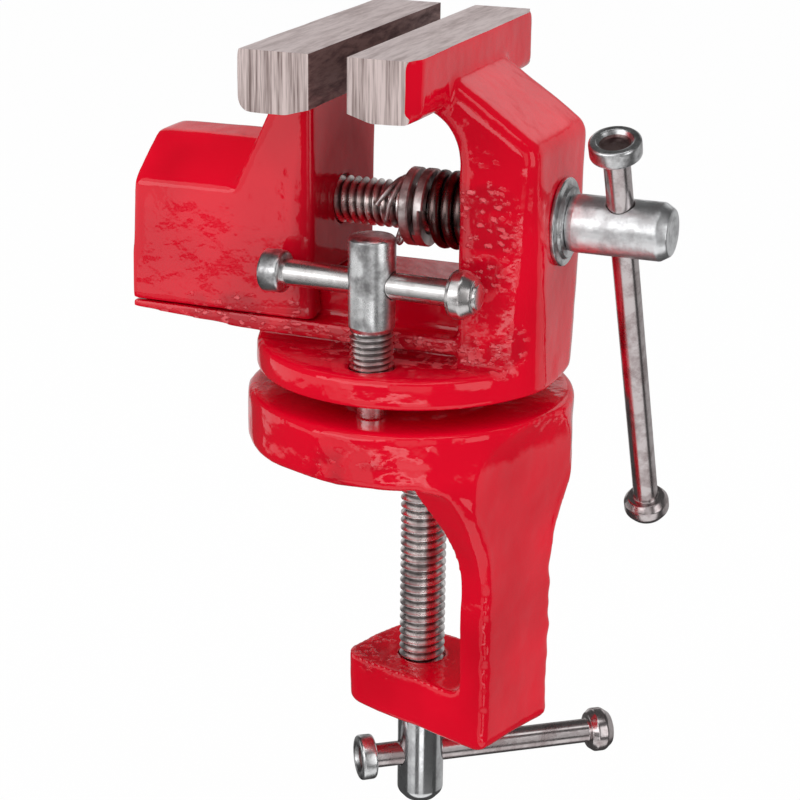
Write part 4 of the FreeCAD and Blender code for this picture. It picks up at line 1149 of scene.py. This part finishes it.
def ground(piece, grip, facing):
    """Grind a jaw's two ends, its top and its gripping face, which faces +x or -x."""
    cuts = (((0, -JAW_END, 0), (0, -1, 0), 1), ((0, JAW_END, 0), (0, 1, 0), 1),
            ((0, 0, JAW_TOP), (0, 0, 1), 2), ((grip, 0, 0), (facing, 0, 0), 3))
    work = bmesh.new()
    work.from_mesh(piece.data)
    for point, normal, number in cuts:
        chosen = [f for f in work.faces if (f.calc_center_median() * 1000).z > JAW_ABOVE]
        geometry = dict.fromkeys(chosen)  # in a fixed order, which a set would not keep
        for face in chosen:
            geometry.update(dict.fromkeys([*face.edges, *face.verts]))
        result = bmesh.ops.bisect_plane(work, geom=list(geometry), plane_co=Vector(point) * MM,
                                        plane_no=normal, clear_outer=True, dist=1e-7)
        rim = [e for e in result["geom_cut"]
               if isinstance(e, bmesh.types.BMEdge) and e.is_boundary]
        made = bmesh.ops.edgeloop_fill(work, edges=rim, mat_nr=number)
        print(piece.name, "ground face", number, len(made["faces"]))
    bmesh.ops.recalc_face_normals(work, faces=work.faces)
    work.to_mesh(piece.data)
    work.free()
    return piece


print("wheel ready")

# %% [markdown]
# ## The vise body
#
# Disc, bed, upright and fixed jaw are one casting. Before it is melted, its jaw is stretched a
# little past its final size, so that there is iron to grind off. The same step slants the jaw's
# underside up towards the grip, pulls in its rear corners and widens the bed a little. Moving a
# few points of the solid does all of that, where cutting and bevelling the finished skin would
# leave seams.

# %% Room for grinding
JAW_LOW, JAW_RIM = 74, 76.2  # the jaw's underside, and the top of its rounded lower edge
OVERHANG = 17.2  # beyond this half width the jaw overhangs its upright
JAW_THICK, SLANT = 5, 2.0
OVERSIZE, GRIP_OVERSIZE = 1.6, 1.5
CORNER, BED_WIDER = 2.6, 0.4


def longer_jaw(points):
    """Stretch the jaw's ends and its top."""
    high = points[:, 2] > JAW_LOW * MM
    ends = high & (np.abs(points[:, 1]) > 33 * MM)
    points[ends, 1] += np.sign(points[ends, 1]) * OVERSIZE * MM
    points[points[:, 2] > 84 * MM, 2] += OVERSIZE * MM


def forward_grip(points):
    """The fixed jaw, which grips towards -x, and the bed under it."""
    x, y, z = points.T / MM
    under = (z > JAW_LOW) & (z < JAW_RIM) & (x < 25.01) & (np.abs(y) > OVERHANG)
    rear_end = (z > JAW_LOW) & (x > 33) & (np.abs(y) > 34.9)
    rear_side = (z > JAW_LOW) & (x > 33) & (np.abs(y) > 33.5) & (np.abs(y) < 34.9)
    points[under, 2] += (25 - x[under]) / JAW_THICK * SLANT * MM
    points[rear_end, 0] -= CORNER * MM
    points[rear_side, 1] -= np.sign(y[rear_side]) * CORNER * MM
    longer_jaw(points)
    grip = (points[:, 2] > JAW_LOW * MM) & (points[:, 0] < 21.5 * MM)
    points[grip, 0] -= GRIP_OVERSIZE * MM
    bed = (np.abs(y) > 15) & (z > 24) & (z < 28.2) & (x < 34)
    points[bed, 1] += np.sign(y[bed]) * BED_WIDER * MM


print("the wheel takes off", OVERSIZE, "mm, and", GRIP_OVERSIZE, "mm at the grip")

# %% Vise body


def calm_body(p):
    """Less noise where the jaw's block slides and where the disc turns."""
    if p.x < -36.4:
        return 0.0
    rail = 1.0 if abs(p.y) > 14 or p.z < 23 or p.z > 40 or p.x > 34 else 0.15
    return rail * (0.15 if p.z < 17 else 1.0)


body = melted("swivel_body", 0.62, 7, forward_grip, 25)
lumps(body, ((18, 0.24), (7, 0.11), (2.6, 0.04)), calm_body)
ground(body, 20.02, -1)
settle(body, "vise_body", [red_body, ground_end, ground_top, grip_painted_shade], ["swivel_body"],
       32)

# %% [markdown]
# ## The moving jaw
#
# The same steps make the moving jaw with its hollow block. The block's foot comes down close to
# the bed, and the noise is calmed inside the channel, so that the block can slide on its rail
# without rubbing. The rear end leans in, and its top corner is smoothed further than the rest,
# because the real one is well rounded there. A vertex group says how much of that smoothing each
# point gets. A bevel on the solid could round it too, but the soft skin would show where the
# bevel ends.

# %% The block's own shape
FOOT_LOWER, REAR_LEAN = 0.8, 0.8


def backward_grip(points):
    """The moving jaw, which grips towards +x, and its block."""
    x, y, z = points.T / MM
    under = (z > JAW_LOW) & (z < JAW_RIM) & (x > 6.99) & (np.abs(y) > OVERHANG)
    points[under, 2] += (x[under] - 7) / JAW_THICK * SLANT * MM
    longer_jaw(points)
    grip = (points[:, 2] > JAW_LOW * MM) & (points[:, 0] > 10.5 * MM)
    points[grip, 0] += GRIP_OVERSIZE * MM
    points[(z < 30.2) & (np.abs(y) > 14.5), 2] -= FOOT_LOWER * MM
    points[(z > 40) & (x < -30), 0] += REAR_LEAN * MM


print("the block's foot is", FOOT_LOWER, "mm lower")

# %% Moving jaw


def calm_jaw(p):
    """Less noise in the channel, on the foot and at the rear end."""
    channel = p.z < 38 and abs(p.y) < 14.5
    return 0.15 if channel or p.z < 30 or p.x < -36.5 else 1.0


def rear_corner(p):
    """How much a place belongs to the block's rear top corner."""
    return min((-28 - p.x) / 5, (p.z - 40) / 10)


jaw = melted("movable_jaw", 0.62, 8, backward_grip, 7)
softened(jaw, rear_corner, 26)
lumps(jaw, ((22, 0.26), (7, 0.08), (2.6, 0.03)), calm_jaw)
ground(jaw, 11.98, 1)
settle(jaw, "moving_jaw", [red_jaw, ground_end, ground_top, grip_painted_shade], ["movable_jaw"],
       32)

# %% [markdown]
# ## The clamp bracket
#
# The bracket is the roughest casting of the three: its long edges waver where the enamel ran. The
# noise is stronger here, and calm only on top, where the vise body turns. Wet enamel also draws
# back to an edge and dries there as a bead. Pushing out the points near the spine's two outer
# edges makes it, by an amount that noise varies along their length. A separate swept bead would
# show its seam.

# %% The bead
SPINE_OUT, SPINE_HALF = 30.5, 11.5  # the spine's outer face and its half width
FLARE, FLARE_FROM, FLARE_HIGH = 9.5, -20, 18.8  # how the spine widens into the head
BEAD, BEAD_INSET, BEAD_SPREAD = 0.42, 0.6, 0.9


def enamel_bead(here):
    """The height of the bead along the spine's two outer edges."""
    x, y, z = here / MM
    out = (x - BRACKET_X) * math.cos(-BRACKET_TURN) + y * math.sin(-BRACKET_TURN)
    side = abs(y * math.cos(-BRACKET_TURN) - (x - BRACKET_X) * math.sin(-BRACKET_TURN))
    flare = FLARE * (max(z - FLARE_FROM, 0) / FLARE_HIGH) ** 2
    away = (out - SPINE_OUT + BEAD_INSET) ** 2 + (side - SPINE_HALF - flare + BEAD_INSET) ** 2
    if z >= 0 or away >= 9:
        return 0.0
    waver = 0.6 + 0.8 * noise.noise((0, 3, z / 3.4))
    return BEAD * waver * math.exp(-away / BEAD_SPREAD)


print("the bead is about", BEAD, "mm high")

# %% Clamp bracket


def calm_bracket(p):
    """Less noise on top, under the turning disc."""
    return 0.2 if p.z > 11 else 1.0


bracket = melted("clamp_bracket", 0.55, 7)
lumps(bracket, ((16, 0.38), (6, 0.16), (2.6, 0.05)), calm_bracket)
pushed(bracket, enamel_bead)
settle(bracket, "clamp_bracket", [red_bracket], ["clamp_bracket"], 32)

# %% [markdown]
# ## The pivot bolt
#
# The bolt and washer that hold the two discs together are plain and hidden below. Their measured
# solids already have the right shape, so they stay and only get a finish. They could be turned on
# the lathe like the screws, but nobody would see the difference.

# %% Carried-over solids
for name in ("pivot_bolt", "pivot_washer"):
    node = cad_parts[name]
    node.data.materials.clear()
    node.data.materials.append(plated_head)
    print(name, "keeps its solid")
